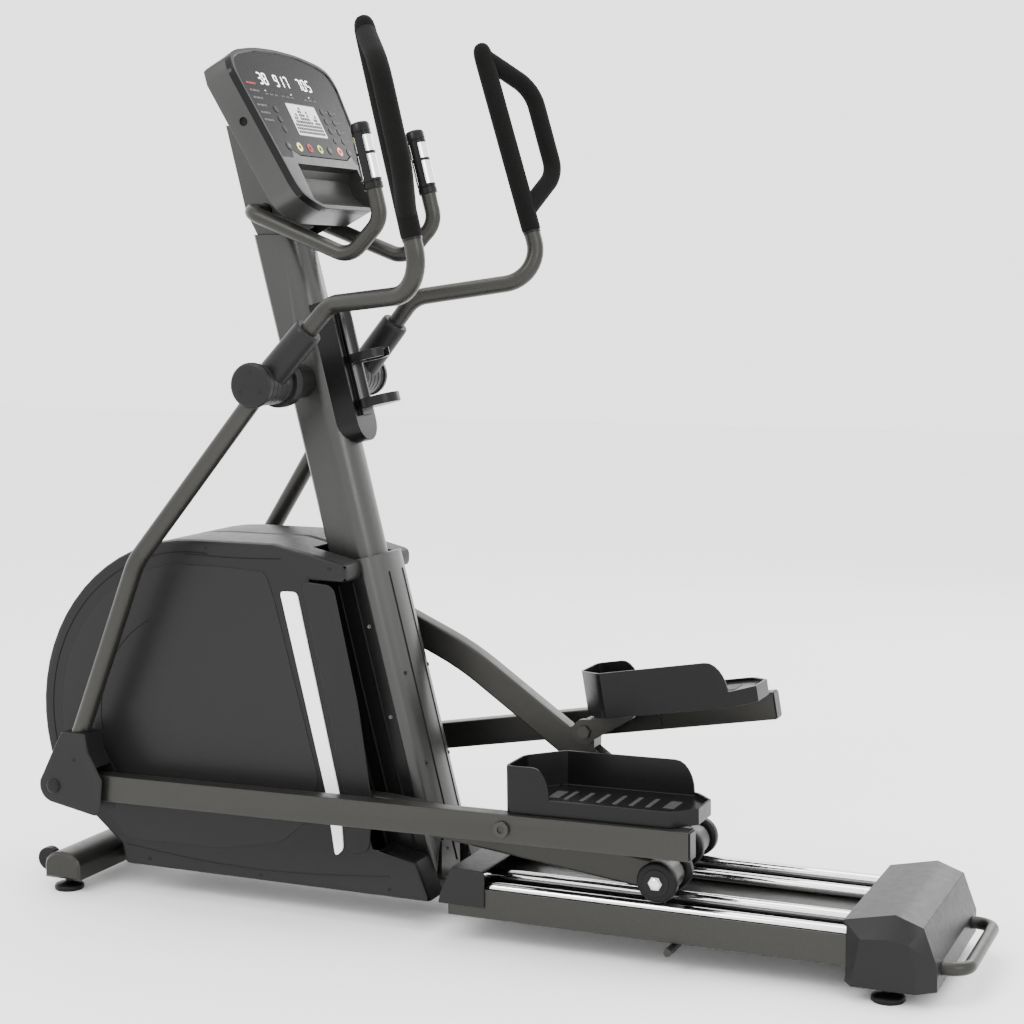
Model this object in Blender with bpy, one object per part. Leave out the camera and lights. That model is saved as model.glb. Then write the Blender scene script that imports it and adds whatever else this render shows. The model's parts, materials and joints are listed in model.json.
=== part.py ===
"""Elliptical trainer with front crank, roller links on floor rails and swinging arms.

Metres, +Z up, +X to the rear, -Y on the rider's left.  The origin lies on the
floor under the middle of the bounding box.  Every moving piece hangs from an
empty on its own joint axis, and the rest pose is solved from the link lengths.
"""
import math
import bpy
import bmesh
from mathutils import Vector

# ---------------------------------------------------------------- driving sizes
LENGTH = 2.010            # housing nose to carry handle
GAP = 0.0003              # touching faces
SHELL = 0.003             # plastic cover wall
STEEL = 0.003             # steel tube wall
LEFT, RIGHT = -1, 1       # side signs along Y
TUBE_SIDES = 12

# floor and rails
FOOT_RADIUS = 0.0315
FOOT_LIFT = 0.030         # floor to the underside of the front stabilizer
RAIL_FLOOR_Z = 0.1024     # top of the rail bed
RAIL_BED = 0.003
RAIL_RADIUS = 0.0125
RAIL_WALL = 0.002
RAIL_START_X = -0.020
RAIL_END_X = 0.800
BED_LIP = 0.0145
BED_SKIRT_Z = 0.058       # bottom edge of the side plates under the rails

# crank, link, pedal arm and swing arm
CRANK_X, CRANK_Z = -0.528, 0.4455
CRANK_RADIUS = 0.237
CRANK_REST = math.radians(13.4)   # left pin ahead of straight down
LINK_REACH = 0.992        # roller axle to crank pin, along the link
LINK_DROP = 0.072         # crank pin below the link's own line
LINK_BEND = 0.610         # roller axle to the bend
LINK_W, LINK_H = 0.040, 0.060
PIVOT_ALONG = 0.305       # roller axle to pedal arm pivot, along the link
PIVOT_RISE = 0.050
ARM_LENGTH = 1.0275       # pedal arm pivot to knee
ARM_TAIL = 0.377          # pedal arm behind its pivot
ARM_W, ARM_H = 0.038, 0.057
SWING_X, SWING_Z = -0.413, 1.100
SWING_LENGTH = 0.992      # swing axle to knee
ROLLER_RADIUS, ROLLER_W = 0.040, 0.026
ROLLER_AXLE = 0.008

# mast
MAST_LEAN = math.radians(14.3)
MAST_FOOT_X = -0.059      # rear face of the mast, carried down to the floor
MAST_HALF_W = 0.050
MAST_DEPTH = 0.104
MAST_FLAT = 0.066         # flat part of each mast side
MAST_BOTTOM_Z, MAST_TOP_Z = 0.160, 1.400
COLUMN_HALF_W = 0.083
COLUMN_CROWN = 0.018      # column cover behind the mast face

# lanes across the machine, from the middle outwards
LINK_Y = COLUMN_HALF_W + 0.022 + LINK_W / 2
HOUSING_HALF_W = LINK_Y + LINK_W / 2 + 0.002 + SHELL
ROLLER_SPACER = 0.012
ROLLER_OFFSET = LINK_W / 2 + ROLLER_SPACER + ROLLER_W / 2
ARM_Y = LINK_Y + ROLLER_OFFSET + ROLLER_W / 2 + 0.010 + ARM_W / 2
BED_HALF_W = LINK_Y + ROLLER_OFFSET + 0.022
CASING_IN = ARM_Y - ARM_W / 2 - 0.004 - SHELL
CASING_OUT = ARM_Y + ARM_W / 2 + 0.014 + SHELL
CASING_MID = (CASING_IN + CASING_OUT) / 2

# swing arm
SWING_TUBE = 0.019
HANDLE_TUBE = 0.018
HUB_RADIUS = 0.042
HUB_IN = HOUSING_HALF_W + 0.005
HUB_LENGTH = 0.090
HUB_Y = HUB_IN + HUB_LENGTH / 2
HUB_CAP_RADIUS = 0.0455
HUB_CAP = 0.014
SOCKET_RADIUS = 0.030
SOCKET_LENGTH = 0.150
SWING_AXLE = 0.0125
HOUSING_NECK, AXLE_HOUSING_RADIUS = 0.034, 0.050
GRIP_Y = 0.322
GRIP_RADIUS = 0.0205
GRIP_START_Z, GRIP_TOP_Z = 0.282, 0.692
LOOP_OUT, LOOP_BACK = 0.090, 0.055

# housing
NOSE_RADIUS = 0.382
NOSE_X = -LENGTH / 2 + NOSE_RADIUS
NOSE_Z = 0.390
COVER_BOTTOM_Z = 0.060
SLOT_TOP_Z, SLOT_BOTTOM_Z = 0.700, 0.160
SLOT_FRONT_X = -0.166     # slot's front edge, carried down to the floor

# console
CONSOLE_X, CONSOLE_Z = -0.333, 1.465
CONSOLE_LEAN = math.radians(27.3)
CONSOLE_H = 0.338
CONSOLE_THICK = 0.070
CONSOLE_LOW_HALF, CONSOLE_TOP_HALF = 0.175, 0.215

# drive inside the housing
PULLEY_RADIUS, PULLEY_W = 0.160, 0.016
PULLEY_Y = 0.044
FLYWHEEL_X, FLYWHEEL_Z = -0.830, 0.330
FLYWHEEL_RADIUS, FLYWHEEL_W = 0.130, 0.038
FLYWHEEL_Y = -0.034
PINION_RADIUS = 0.030
BELT_THICK, BELT_FIT = 0.003, 0.0012
CRANK_SHAFT = 0.0125
CRANK_SHELL = 0.034
CRANK_ARM_Y, CRANK_ARM_W = 0.064, 0.014
IDLER_RADIUS = 0.022

ROLLER_Z = RAIL_FLOOR_Z + GAP + 2 * RAIL_RADIUS + GAP + ROLLER_RADIUS
RAIL_Z = RAIL_FLOOR_Z + GAP + RAIL_RADIUS


# ---------------------------------------------------------------- blender helpers
def clear_scene():
    for item in list(bpy.data.objects):
        bpy.data.objects.remove(item, do_unlink=True)


def material(name, colour, roughness, metallic):
    made = bpy.data.materials.new(name)
    made.use_nodes = True
    shader = made.node_tree.nodes["Principled BSDF"]
    shader.inputs["Base Color"].default_value = (*colour, 1.0)
    shader.inputs["Roughness"].default_value = roughness
    shader.inputs["Metallic"].default_value = metallic
    return made


FINISHES = {
    "coat": ((0.075, 0.074, 0.070), 0.42, 0.60),
    "silver_coat": ((0.16, 0.16, 0.155), 0.38, 0.70),
    "cover": ((0.040, 0.040, 0.040), 0.48, 0.0),
    "black_plastic": ((0.012, 0.012, 0.012), 0.40, 0.0),
    "foam": ((0.010, 0.010, 0.010), 0.90, 0.0),
    "rubber": ((0.012, 0.012, 0.012), 0.70, 0.0),
    "chrome": ((0.75, 0.75, 0.76), 0.12, 1.0),
    "steel": ((0.45, 0.45, 0.45), 0.35, 1.0),
    "iron": ((0.16, 0.16, 0.16), 0.55, 1.0),
    "gloss": ((0.006, 0.006, 0.007), 0.12, 0.0),
}


def empty(name, x, z, parent=None, tilt=0.0):
    """An empty on a joint axis along Y; tilt turns it about that axis."""
    made = bpy.data.objects.new(name, None)
    bpy.context.scene.collection.objects.link(made)
    made.parent = parent
    made.location = (x, 0.0, z)
    made.rotation_euler = (0.0, tilt, 0.0)
    return made


def raw_object(name, bm):
    bmesh.ops.recalc_face_normals(bm, faces=bm.faces)
    mesh = bpy.data.meshes.new(name)
    bm.to_mesh(mesh)
    bm.free()
    made = bpy.data.objects.new(name, mesh)
    bpy.context.scene.collection.objects.link(made)
    return made


def combine(base, tools, operation):
    """Boolean every tool into base, keep the evaluated mesh, and drop the tools."""
    for tool in tools:
        step = base.modifiers.new("step", 'BOOLEAN')
        step.operation = operation
        step.solver = 'EXACT'
        step.object = tool
    graph = bpy.context.evaluated_depsgraph_get()
    result = bpy.data.meshes.new_from_object(base.evaluated_get(graph))
    base.modifiers.clear()
    base.data = result
    for tool in tools:
        bpy.data.objects.remove(tool, do_unlink=True)
    return base


def cut(base, *tools):
    return combine(base, tools, 'DIFFERENCE')


def join(base, *tools):
    return combine(base, tools, 'UNION')


def finish(made, name, finish_name, parent=None):
    """Name the piece, give it its own material and hang it on its axis."""
    made.name = name
    made.data.name = name
    made.data.materials.clear()
    made.data.materials.append(material(name, *FINISHES[finish_name]))
    made.data.shade_smooth()
    made.data.set_sharp_from_angle(angle=math.radians(32))
    made.parent = parent
    return made


# ---------------------------------------------------------------- shape helpers
def circle(radius, sides=TUBE_SIDES):
    step = 2 * math.pi / sides
    return [(radius * math.cos(i * step), radius * math.sin(i * step)) for i in range(sides)]


def rounded_rect(width, height, corner, steps=3):
    """Section of a rectangular tube: corners as quarter circles."""
    points = []
    for quarter in range(4):
        cx = (width / 2 - corner) * (1 if quarter in (0, 3) else -1)
        cy = (height / 2 - corner) * (1 if quarter in (0, 1) else -1)
        for i in range(steps + 1):
            angle = (quarter + i / steps) * math.pi / 2
            points.append((cx + corner * math.cos(angle), cy + corner * math.sin(angle)))
    return points


def arc(cx, cz, radius, start, end, steps):
    """Points on a circle from start to end, in degrees."""
    turn = [math.radians(start + (end - start) * i / steps) for i in range(steps + 1)]
    return [(cx + radius * math.cos(t), cz + radius * math.sin(t)) for t in turn]


def fillet(points, radii, steps=5):
    """Round the inner corners of a route; radii has one value per inner corner."""
    route = [Vector(points[0])]
    for before, corner, after, radius in zip(points, points[1:], points[2:], radii):
        corner = Vector(corner)
        to_start = (Vector(before) - corner).normalized()
        to_end = (Vector(after) - corner).normalized()
        half = (math.pi - to_start.angle(to_end)) / 2
        reach = radius * math.tan(half)
        centre = corner + (to_start + to_end).normalized() * radius / math.cos(half)
        first = (corner + to_start * reach - centre).normalized()
        last = (corner + to_end * reach - centre).normalized()
        for i in range(steps + 1):
            route.append(centre + first.slerp(last, i / steps) * radius)
    route.append(Vector(points[-1]))
    return route


def sweep(name, route, outer, inner=None, across=(0, 1, 0)):
    """Carry a section along a route; with inner given the tube is hollow, open at both ends."""
    bm = bmesh.new()
    route = [Vector(p) for p in route]
    side = Vector(across)
    if abs(side.dot((route[1] - route[0]).normalized())) > 0.99:
        side = Vector((1, 0, 0))
    rings = {True: [], False: []}
    for i, here in enumerate(route):
        before = (here - route[i - 1]).normalized() if i else None
        after = (route[i + 1] - here).normalized() if i + 1 < len(route) else None
        along = ((before or after) + (after or before)).normalized()
        side = (side - along * side.dot(along)).normalized()
        up = along.cross(side)
        for is_outer, section in ((True, outer), (False, inner)):
            if section:
                ring = [bm.verts.new(here + side * u + up * v) for u, v in section]
                rings[is_outer].append(ring)
    for is_outer, stack in rings.items():
        for low, high in zip(stack, stack[1:]):
            count = len(low)
            for k in range(count):
                bm.faces.new((low[k], low[(k + 1) % count], high[(k + 1) % count], high[k]))
    for end in (0, -1):
        if inner:
            a, b = rings[True][end], rings[False][end]
            for k in range(len(a)):
                m = (k + 1) % len(a)
                bm.faces.new((a[k], a[m], b[m], b[k]))
        else:
            bm.faces.new(rings[True][end])
    return raw_object(name, bm)


def tube(name, route, radius, wall=None, sides=TUBE_SIDES):
    inner = circle(radius - wall, sides) if wall else None
    return sweep(name, route, circle(radius, sides), inner)


def prism(name, outline, y0, y1):
    """An (x, z) outline carried from y0 to y1."""
    bm = bmesh.new()
    near = [bm.verts.new((x, y0, z)) for x, z in outline]
    far = [bm.verts.new((x, y1, z)) for x, z in outline]
    bm.faces.new(near)
    bm.faces.new(far)
    for i in range(len(outline)):
        j = (i + 1) % len(outline)
        bm.faces.new((near[i], near[j], far[j], far[i]))
    return raw_object(name, bm)


def loft(name, sections, split=False):
    """Skin between closed rings of equal length, with flat ends; split makes it triangles."""
    bm = bmesh.new()
    rings = [[bm.verts.new(p) for p in ring] for ring in sections]
    for low, high in zip(rings, rings[1:]):
        for k in range(len(low)):
            m = (k + 1) % len(low)
            bm.faces.new((low[k], low[m], high[m], high[k]))
    bm.faces.new(rings[0])
    bm.faces.new(rings[-1])
    if split:
        bmesh.ops.triangulate(bm, faces=bm.faces)
    return raw_object(name, bm)


def box(name, x0, x1, y0, y1, z0, z1):
    return prism(name, [(x0, z0), (x1, z0), (x1, z1), (x0, z1)], y0, y1)


def cross_cylinder(name, x, z, radius, y0, y1, sides=20):
    return prism(name, [(x + a, z + b) for a, b in circle(radius, sides)], y0, y1)


def ring_y(name, x, z, radius, bore, y0, y1, sides=20):
    """A ring with its hole along Y."""
    route = [(x, y0, z), (x, y1, z)]
    return sweep(name, route, circle(radius, sides), circle(bore, sides), across=(1, 0, 0))


def turned_y(name, profile, x, z, sides=32):
    """Turn (radius, y) pairs about an axis along Y through (x, z); a closed profile gives a ring."""
    bm = bmesh.new()
    rings = []
    for radius, y in profile:
        rings.append([bm.verts.new((x + a, y, z + b)) for a, b in circle(radius, sides)])
    for low, high in zip(rings, rings[1:] + rings[:1]):
        for k in range(sides):
            m = (k + 1) % sides
            bm.faces.new((low[k], low[m], high[m], high[k]))
    return raw_object(name, bm)


def turned_z(name, profile, x, y, sides=16):
    """Turn (radius, z) pairs about a vertical axis, closed by flat ends."""
    sections = []
    for radius, z in profile:
        sections.append([(x + a, y + b, z) for a, b in circle(radius, sides)])
    return loft(name, sections)


def lane(side, near, far):
    """Two distances from the middle as an ordered pair of Y values on one side."""
    return (side * near, side * far)


# ---------------------------------------------------------------- linkage at rest
def linkage(pin_angle):
    """Solve one side for a pin angle, measured from straight down towards the nose."""
    pin_x = CRANK_X - CRANK_RADIUS * math.sin(pin_angle)
    pin_z = CRANK_Z - CRANK_RADIUS * math.cos(pin_angle)
    reach = math.hypot(LINK_REACH, LINK_DROP)
    axle_x = pin_x + math.sqrt(reach ** 2 - (pin_z - ROLLER_Z) ** 2)
    slope = math.atan2(pin_z - ROLLER_Z, axle_x - pin_x) + math.atan2(LINK_DROP, LINK_REACH)
    pivot_x = axle_x - PIVOT_ALONG * math.cos(slope) + PIVOT_RISE * math.sin(slope)
    pivot_z = ROLLER_Z + PIVOT_ALONG * math.sin(slope) + PIVOT_RISE * math.cos(slope)
    span = math.hypot(pivot_x - SWING_X, pivot_z - SWING_Z)
    along = (SWING_LENGTH ** 2 - ARM_LENGTH ** 2 + span ** 2) / (2 * span)
    offset = math.sqrt(SWING_LENGTH ** 2 - along ** 2)
    ex, ez = (pivot_x - SWING_X) / span, (pivot_z - SWING_Z) / span
    knee_x = SWING_X + along * ex + offset * ez
    knee_z = SWING_Z + along * ez - offset * ex
    return {
        "axle": (axle_x, ROLLER_Z),
        "slope": slope,
        "pivot": (pivot_x, pivot_z),
        "arm_tilt": math.atan2(pivot_z - knee_z, pivot_x - knee_x),
        "swing": math.atan2(SWING_X - knee_x, SWING_Z - knee_z),
        "pin": (pin_x, pin_z),
    }


def belt_line():
    """Direction from the crank to the flywheel, and the belt's tangent angle from it."""
    span = math.hypot(CRANK_X - FLYWHEEL_X, CRANK_Z - FLYWHEEL_Z)
    towards = math.atan2(FLYWHEEL_Z - CRANK_Z, FLYWHEEL_X - CRANK_X)
    return towards, math.acos((PULLEY_RADIUS - PINION_RADIUS) / span)


def idler_centre():
    """Outside the belt's lower run, halfway along it."""
    towards, wrap = belt_line()
    out_x, out_z = math.cos(towards + wrap), math.sin(towards + wrap)
    reach = (PULLEY_RADIUS + PINION_RADIUS) / 2 + BELT_THICK + 2 * BELT_FIT + IDLER_RADIUS
    x = (CRANK_X + FLYWHEEL_X) / 2 + out_x * reach
    z = (CRANK_Z + FLYWHEEL_Z) / 2 + out_z * reach
    return x, z


IDLER_X, IDLER_Z = idler_centre()
REST = {LEFT: linkage(CRANK_REST), RIGHT: linkage(CRANK_REST + math.pi)}
SWING_DRAWN = REST[LEFT]["swing"]   # the swing arm's shape is drawn at this angle


def mast_point(across, height):
    """World (x, z) of a point given behind the mast's rear face and along the mast."""
    x = MAST_FOOT_X + across * math.cos(MAST_LEAN) - height * math.sin(MAST_LEAN)
    z = across * math.sin(MAST_LEAN) + height * math.cos(MAST_LEAN)
    return x, z


def mast_rear_x(z):
    return MAST_FOOT_X - z * math.tan(MAST_LEAN)


# ---------------------------------------------------------------- floor frame
def stabilizer_section(inset):
    """Domed section of the front stabilizer, (x, z), moved in by inset."""
    front, rear, floor, crown = -0.968, -0.879, FOOT_LIFT, 0.090
    middle = (front + rear) / 2
    half = (rear - front) / 2 - inset
    shoulder = 0.060
    rise = crown - inset - shoulder
    top = [(middle + half * math.cos(t), shoulder + rise * math.sin(t))
           for t in [math.pi * i / 8 for i in range(9)]]
    return [(middle - half, floor + inset), (middle + half, floor + inset)] + top


STABILIZER_HALF = 0.2155
STABILIZER_REAR = -0.879
WHEEL_X, WHEEL_Z, WHEEL_RADIUS = -0.978, 0.062, 0.025
WHEEL_Y0, WHEEL_Y1 = 0.166, 0.190
FRONT_FOOT_X, REAR_FOOT_X, FOOT_Y = -0.930, 0.857, 0.178
REAR_BAR_X, REAR_BAR_Z = 0.855, 0.035


def front_stabilizer():
    rings = []
    for y, inset in ((-1.0, 0.006), (-0.97, 0.0), (0.97, 0.0), (1.0, 0.006)):
        rings.append([(x, y * STABILIZER_HALF, z) for x, z in stabilizer_section(inset)])
    tube_body = loft("t", rings)
    inner = prism("t", stabilizer_section(STEEL), -0.155, 0.155)
    body = cut(tube_body, inner)
    drains = [cross_z_hole(FRONT_FOOT_X, y, 0.02, 0.06, 0.006) for y in (-0.10, 0.10)]
    body = cut(body, *drains)
    for side in (LEFT, RIGHT):
        y0, y1 = lane(side, WHEEL_Y0 - 0.002, WHEEL_Y1 + 0.002)
        body = cut(body, cross_cylinder("t", WHEEL_X, WHEEL_Z, WHEEL_RADIUS + 0.003, y0, y1))
        y0, y1 = lane(side, WHEEL_Y0 - 0.010, WHEEL_Y0 - 0.002)
        lug = prism("t", [(-0.985, 0.050), (-0.940, 0.045), (-0.940, 0.080), (-0.985, 0.072)], y0, y1)
        y0, y1 = lane(side, WHEEL_Y0 - 0.006, WHEEL_Y1)
        pin = cross_cylinder("t", WHEEL_X, WHEEL_Z, 0.005, y0, y1, 12)
        body = join(body, lug, pin)
    finish(body, "front_stabilizer", "coat")


def cross_z_hole(x, y, z0, z1, radius):
    return turned_z("t", [(radius, z0), (radius, z1)], x, y, 12)


def foot(side, name, x, underside):
    """Levelling foot with its stud."""
    profile = [(FOOT_RADIUS - 0.002, 0.0), (FOOT_RADIUS, 0.003), (FOOT_RADIUS, 0.009),
               (FOOT_RADIUS - 0.006, 0.013), (0.011, 0.016), (0.008, 0.017),
               (0.008, underside - GAP)]
    finish(turned_z("t", profile, x, side * FOOT_Y), name, "rubber")


def transport_wheel(side, name):
    y0, y1 = lane(side, WHEEL_Y0, WHEEL_Y1)
    edge = side * 0.003
    bore = 0.0055
    profile = [(bore, y0), (WHEEL_RADIUS - 0.003, y0), (WHEEL_RADIUS, y0 + edge),
               (WHEEL_RADIUS, y1 - edge), (WHEEL_RADIUS - 0.003, y1), (bore, y1)]
    axis = empty(name + "_axis", WHEEL_X, WHEEL_Z)
    wheel = turned_y("t", profile, 0, 0, 20)
    finish(wheel, name, "rubber", axis)


BEAM_HALF, BEAM_LOW, BEAM_TOP = 0.030, 0.038, 0.078
BEAM_END = 0.790
MEMBER_HALF = 0.150


def main_frame():
    """Centre beam with the mast foot, drive posts, rail members and the rear bar."""
    low, top = BEAM_LOW, BEAM_TOP
    beam = box("t", STABILIZER_REAR + GAP, BEAM_END, -BEAM_HALF, BEAM_HALF, low, top)
    hollow = box("t", STABILIZER_REAR + 0.010, BEAM_END + 0.01, -BEAM_HALF + STEEL, BEAM_HALF - STEEL,
                 low + STEEL, top - STEEL)
    frame = cut(beam, hollow)
    foot_x = mast_rear_x(MAST_BOTTOM_Z)
    root = top - 0.002
    member_top = RAIL_FLOOR_Z - RAIL_BED - GAP
    pieces = [
        box("t", foot_x - MAST_DEPTH + 0.012, foot_x - 0.002, -0.045, 0.045, root, MAST_BOTTOM_Z - GAP),
        box("t", CRANK_X - 0.030, CRANK_X + 0.030, -0.014, 0.014, root, CRANK_Z - 0.010),
        cross_cylinder("t", CRANK_X, CRANK_Z, CRANK_SHELL, -0.028, 0.028),
        prism("t", [(FLYWHEEL_X + 0.045, root), (FLYWHEEL_X + 0.085, root),
                    (FLYWHEEL_X + 0.025, FLYWHEEL_Z + 0.022), (FLYWHEEL_X - 0.025, FLYWHEEL_Z + 0.022),
                    (FLYWHEEL_X - 0.025, FLYWHEEL_Z - 0.030)], -0.006, 0.006),
        box("t", IDLER_X - 0.012, IDLER_X + 0.012, -0.0055, 0.0055, root, IDLER_Z + 0.012),
        cross_cylinder("t", IDLER_X, IDLER_Z, 0.006, 0.0, PULLEY_Y + PULLEY_W / 2 + 0.001, 16),
        box("t", REAR_BAR_X - 0.025, REAR_BAR_X + 0.025, -0.190, 0.190, REAR_BAR_Z, 0.080),
        box("t", BEAM_END - 0.030, REAR_BAR_X, -BEAM_HALF + 0.001, BEAM_HALF - 0.001,
            low + STEEL + 0.003, top - STEEL - 0.003),
        box("t", 0.080, 0.120, -MEMBER_HALF, MEMBER_HALF, top - 0.006, member_top),
        box("t", 0.700, 0.740, -MEMBER_HALF, MEMBER_HALF, top - 0.006, member_top),
        tube("t", [(0.445, -0.215, 0.046), (0.445, 0.215, 0.046)], 0.008, sides=12),
    ]
    frame = join(frame, *pieces)
    wall = STEEL
    hollows = [
        box("t", REAR_BAR_X - 0.025 + wall, REAR_BAR_X + 0.025 - wall, -0.2, 0.2, REAR_BAR_Z + wall, 0.080 - wall),
        box("t", 0.080 + wall, 0.120 - wall, -0.2, 0.2, top + wall, member_top - wall),
        box("t", 0.700 + wall, 0.740 - wall, -0.2, 0.2, top + wall, member_top - wall),
        box("t", foot_x - MAST_DEPTH + 0.012 + wall, foot_x - 0.002 - wall, -0.045 + wall, 0.045 - wall,
            top + 0.001, MAST_BOTTOM_Z + 0.01),
        box("t", CRANK_X - 0.030 + wall, CRANK_X + 0.040, -0.014 + wall, 0.014 - wall,
            top + 0.001, CRANK_Z - CRANK_SHELL - 0.008),
    ]
    frame = cut(frame, *hollows)
    shaft_hole = cross_cylinder("t", CRANK_X, CRANK_Z, CRANK_SHAFT + GAP, -0.1, 0.1)
    axle_hole = cross_cylinder("t", FLYWHEEL_X, FLYWHEEL_Z, 0.0105, -0.05, 0.05, 16)
    finish(cut(frame, shaft_hole, axle_hole), "main_frame", "coat")


# ---------------------------------------------------------------- rails and rear end
def rail_base():
    """Pressed bed under the rails, with a deep plate along each side."""
    w, lip, top = BED_HALF_W, RAIL_BED, RAIL_FLOOR_Z
    low = top - RAIL_BED
    skirt = BED_SKIRT_Z
    section = [(-w, skirt), (-w, top + BED_LIP), (-w + lip, top + BED_LIP), (-w + lip, top),
               (w - lip, top), (w - lip, top + BED_LIP), (w, top + BED_LIP), (w, skirt),
               (w - lip, skirt), (w - lip, low), (-w + lip, low), (-w + lip, skirt)]
    rings = [[(x, y, z) for y, z in section] for x in (RAIL_START_X, RAIL_END_X)]
    finish(loft("t", rings), "rail_base", "coat")


def guide_rail(side, name):
    """Rail tube bent into a hairpin, so both rollers of one link run on it."""
    start, end = RAIL_START_X + 0.004 + RAIL_RADIUS, RAIL_END_X - 0.004
    near, far = side * (LINK_Y - ROLLER_OFFSET), side * (LINK_Y + ROLLER_OFFSET)
    corners = [(end, near, RAIL_Z), (start, near, RAIL_Z), (start, far, RAIL_Z), (end, far, RAIL_Z)]
    bend = ROLLER_OFFSET - 0.001
    route = fillet(corners, [bend, bend], 3)
    section, bore = circle(RAIL_RADIUS), circle(RAIL_RADIUS - RAIL_WALL)
    finish(sweep("t", route, section, bore, (0, 0, 1)), name, "chrome")


BRACKET_TOP_Z = 0.155


def rail_bracket():
    """Saddle cover over the front end of the rail bed."""
    half = BED_HALF_W + GAP
    wall = 0.004
    profile = [(-0.040, 0.080), (-0.036, 0.100), (-0.011, BRACKET_TOP_Z), (0.056, BRACKET_TOP_Z - 0.002),
               (0.060, 0.148), (0.060, 0.080)]
    cover = prism("t", profile, -half - wall, half + wall)
    inner = [(-0.036, 0.070), (-0.032, 0.100), (-0.009, BRACKET_TOP_Z - wall),
             (0.070, BRACKET_TOP_Z - wall), (0.070, 0.070)]
    pocket = prism("t", inner, -half, half)
    finish(cut(cover, pocket), "rail_bracket", "cover")


REAR_MID = [(0.775, 0.030), (0.775, 0.145), (0.870, 0.165), (0.922, 0.146), (0.948, 0.075), (0.948, 0.030)]
REAR_END = [(0.796, 0.030), (0.812, 0.120), (0.862, 0.125), (0.900, 0.119), (0.914, 0.070), (0.914, 0.030)]
REAR_MID_HALF, REAR_END_HALF = 0.190, 0.2175


def shrink(outline, amount):
    """Move each point of an outline towards its middle by a fixed amount."""
    cx = (min(p[0] for p in outline) + max(p[0] for p in outline)) / 2
    cz = (min(p[1] for p in outline) + max(p[1] for p in outline)) / 2
    moved = []
    for x, z in outline:
        moved.append((x - math.copysign(amount, x - cx), z - math.copysign(amount, z - cz)))
    return moved


def rear_cover():
    def rings(mid, end, mid_half, end_half):
        return [[(x, -end_half, z) for x, z in end], [(x, -mid_half, z) for x, z in mid],
                [(x, mid_half, z) for x, z in mid], [(x, end_half, z) for x, z in end]]
    shell = loft("t", rings(REAR_MID, REAR_END, REAR_MID_HALF, REAR_END_HALF), True)
    inner_mid = [(x, z if z > 0.04 else 0.020) for x, z in shrink(REAR_MID, SHELL)]
    inner_end = [(x, z if z > 0.04 else 0.020) for x, z in shrink(REAR_END, SHELL)]
    hollow = loft("t", rings(inner_mid, inner_end, REAR_MID_HALF - 0.001, REAR_END_HALF - SHELL), True)
    mouth = box("t", 0.74, 0.82, -BED_HALF_W - 0.002, BED_HALF_W + 0.002, 0.010, 0.134)
    shell = cut(shell, hollow, mouth)
    finish(cut(shell, carry_loop(CARRY_RADIUS + 0.001)), "rear_cover", "cover")


HANDLE_HALF, HANDLE_Z, CARRY_RADIUS, CARRY_WALL = 0.145, 0.062, 0.0125, 0.002


def carry_loop(radius, bore=None):
    end_x = LENGTH / 2 - CARRY_RADIUS
    start_x = REAR_BAR_X + 0.025 + GAP
    corners = [(start_x, -HANDLE_HALF, HANDLE_Z), (end_x, -HANDLE_HALF, HANDLE_Z),
               (end_x, HANDLE_HALF, HANDLE_Z), (start_x, HANDLE_HALF, HANDLE_Z)]
    route = fillet(corners, [0.035, 0.035], 4)
    return sweep("t", route, circle(radius), bore, (0, 0, 1))


def carry_handle():
    """Bent tube that lifts the rear end, welded to the rear bar."""
    finish(carry_loop(CARRY_RADIUS, circle(CARRY_RADIUS - CARRY_WALL)), "carry_handle", "coat")


# ---------------------------------------------------------------- housing
def slot_x(z):
    return SLOT_FRONT_X - z * math.tan(MAST_LEAN)


def housing_outline(inset):
    """Side view of the housing halves, moved in by inset; the notch is the link's slot."""
    floor = COVER_BOTTOM_Z + inset
    nose = arc(NOSE_X, NOSE_Z, NOSE_RADIUS - inset, 90, 205, 20)
    top = NOSE_Z + NOSE_RADIUS - inset
    notch = 0.0 if inset == 0 else -0.012
    outline = [(-0.806 + inset, floor), (-0.814 + inset, 0.102 + inset / 2)]
    outline += nose[::-1]
    outline += [(-0.430, top), (-0.330, 0.752 - inset), (-0.262 - inset, 0.736 - inset)]
    outline += [(-0.262 - inset, SLOT_TOP_Z + inset), (slot_x(SLOT_TOP_Z) - notch, SLOT_TOP_Z + inset)]
    outline += [(slot_x(SLOT_BOTTOM_Z) - notch, SLOT_BOTTOM_Z - inset)]
    outline += [(-0.112 - inset, SLOT_BOTTOM_Z - 0.020 - inset), (-0.078 - inset, floor)]
    return outline


def mast_prism(name, gap, low, high):
    """Solid of the mast's section widened by gap, between two heights along the mast."""
    rings = []
    for height in (low, high):
        ring = []
        for across, y in mast_section(gap):
            x, z = mast_point(across, height)
            ring.append((x, y, z))
        rings.append(ring)
    return loft(name, rings)


def mast_section(gap):
    """(across, y) points: flat front and sides, and a rounded rear face."""
    half = MAST_HALF_W + gap
    front, flat = -MAST_DEPTH - gap, -MAST_DEPTH + MAST_FLAT
    round_depth = -flat + gap
    rear = [(flat + round_depth * math.sin(t), half * math.cos(t))
            for t in [math.pi * i / 10 for i in range(11)]]
    corner = 0.006
    return rear + [(front + corner, -half), (front, -half + corner),
                   (front, half - corner), (front + corner, half)]


def column_zone(gap, reach):
    """Solid around the column cover, used to clear the housing halves."""
    half = COLUMN_HALF_W + gap
    front = -MAST_DEPTH - 0.012
    rings = []
    for height in (-0.05, 1.0):
        ring = []
        for across, y in ((front, -half), (reach, -half), (reach, half), (front, half)):
            x, z = mast_point(across, height)
            ring.append((x, y, z))
        rings.append(ring)
    return loft("t", rings)


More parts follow.
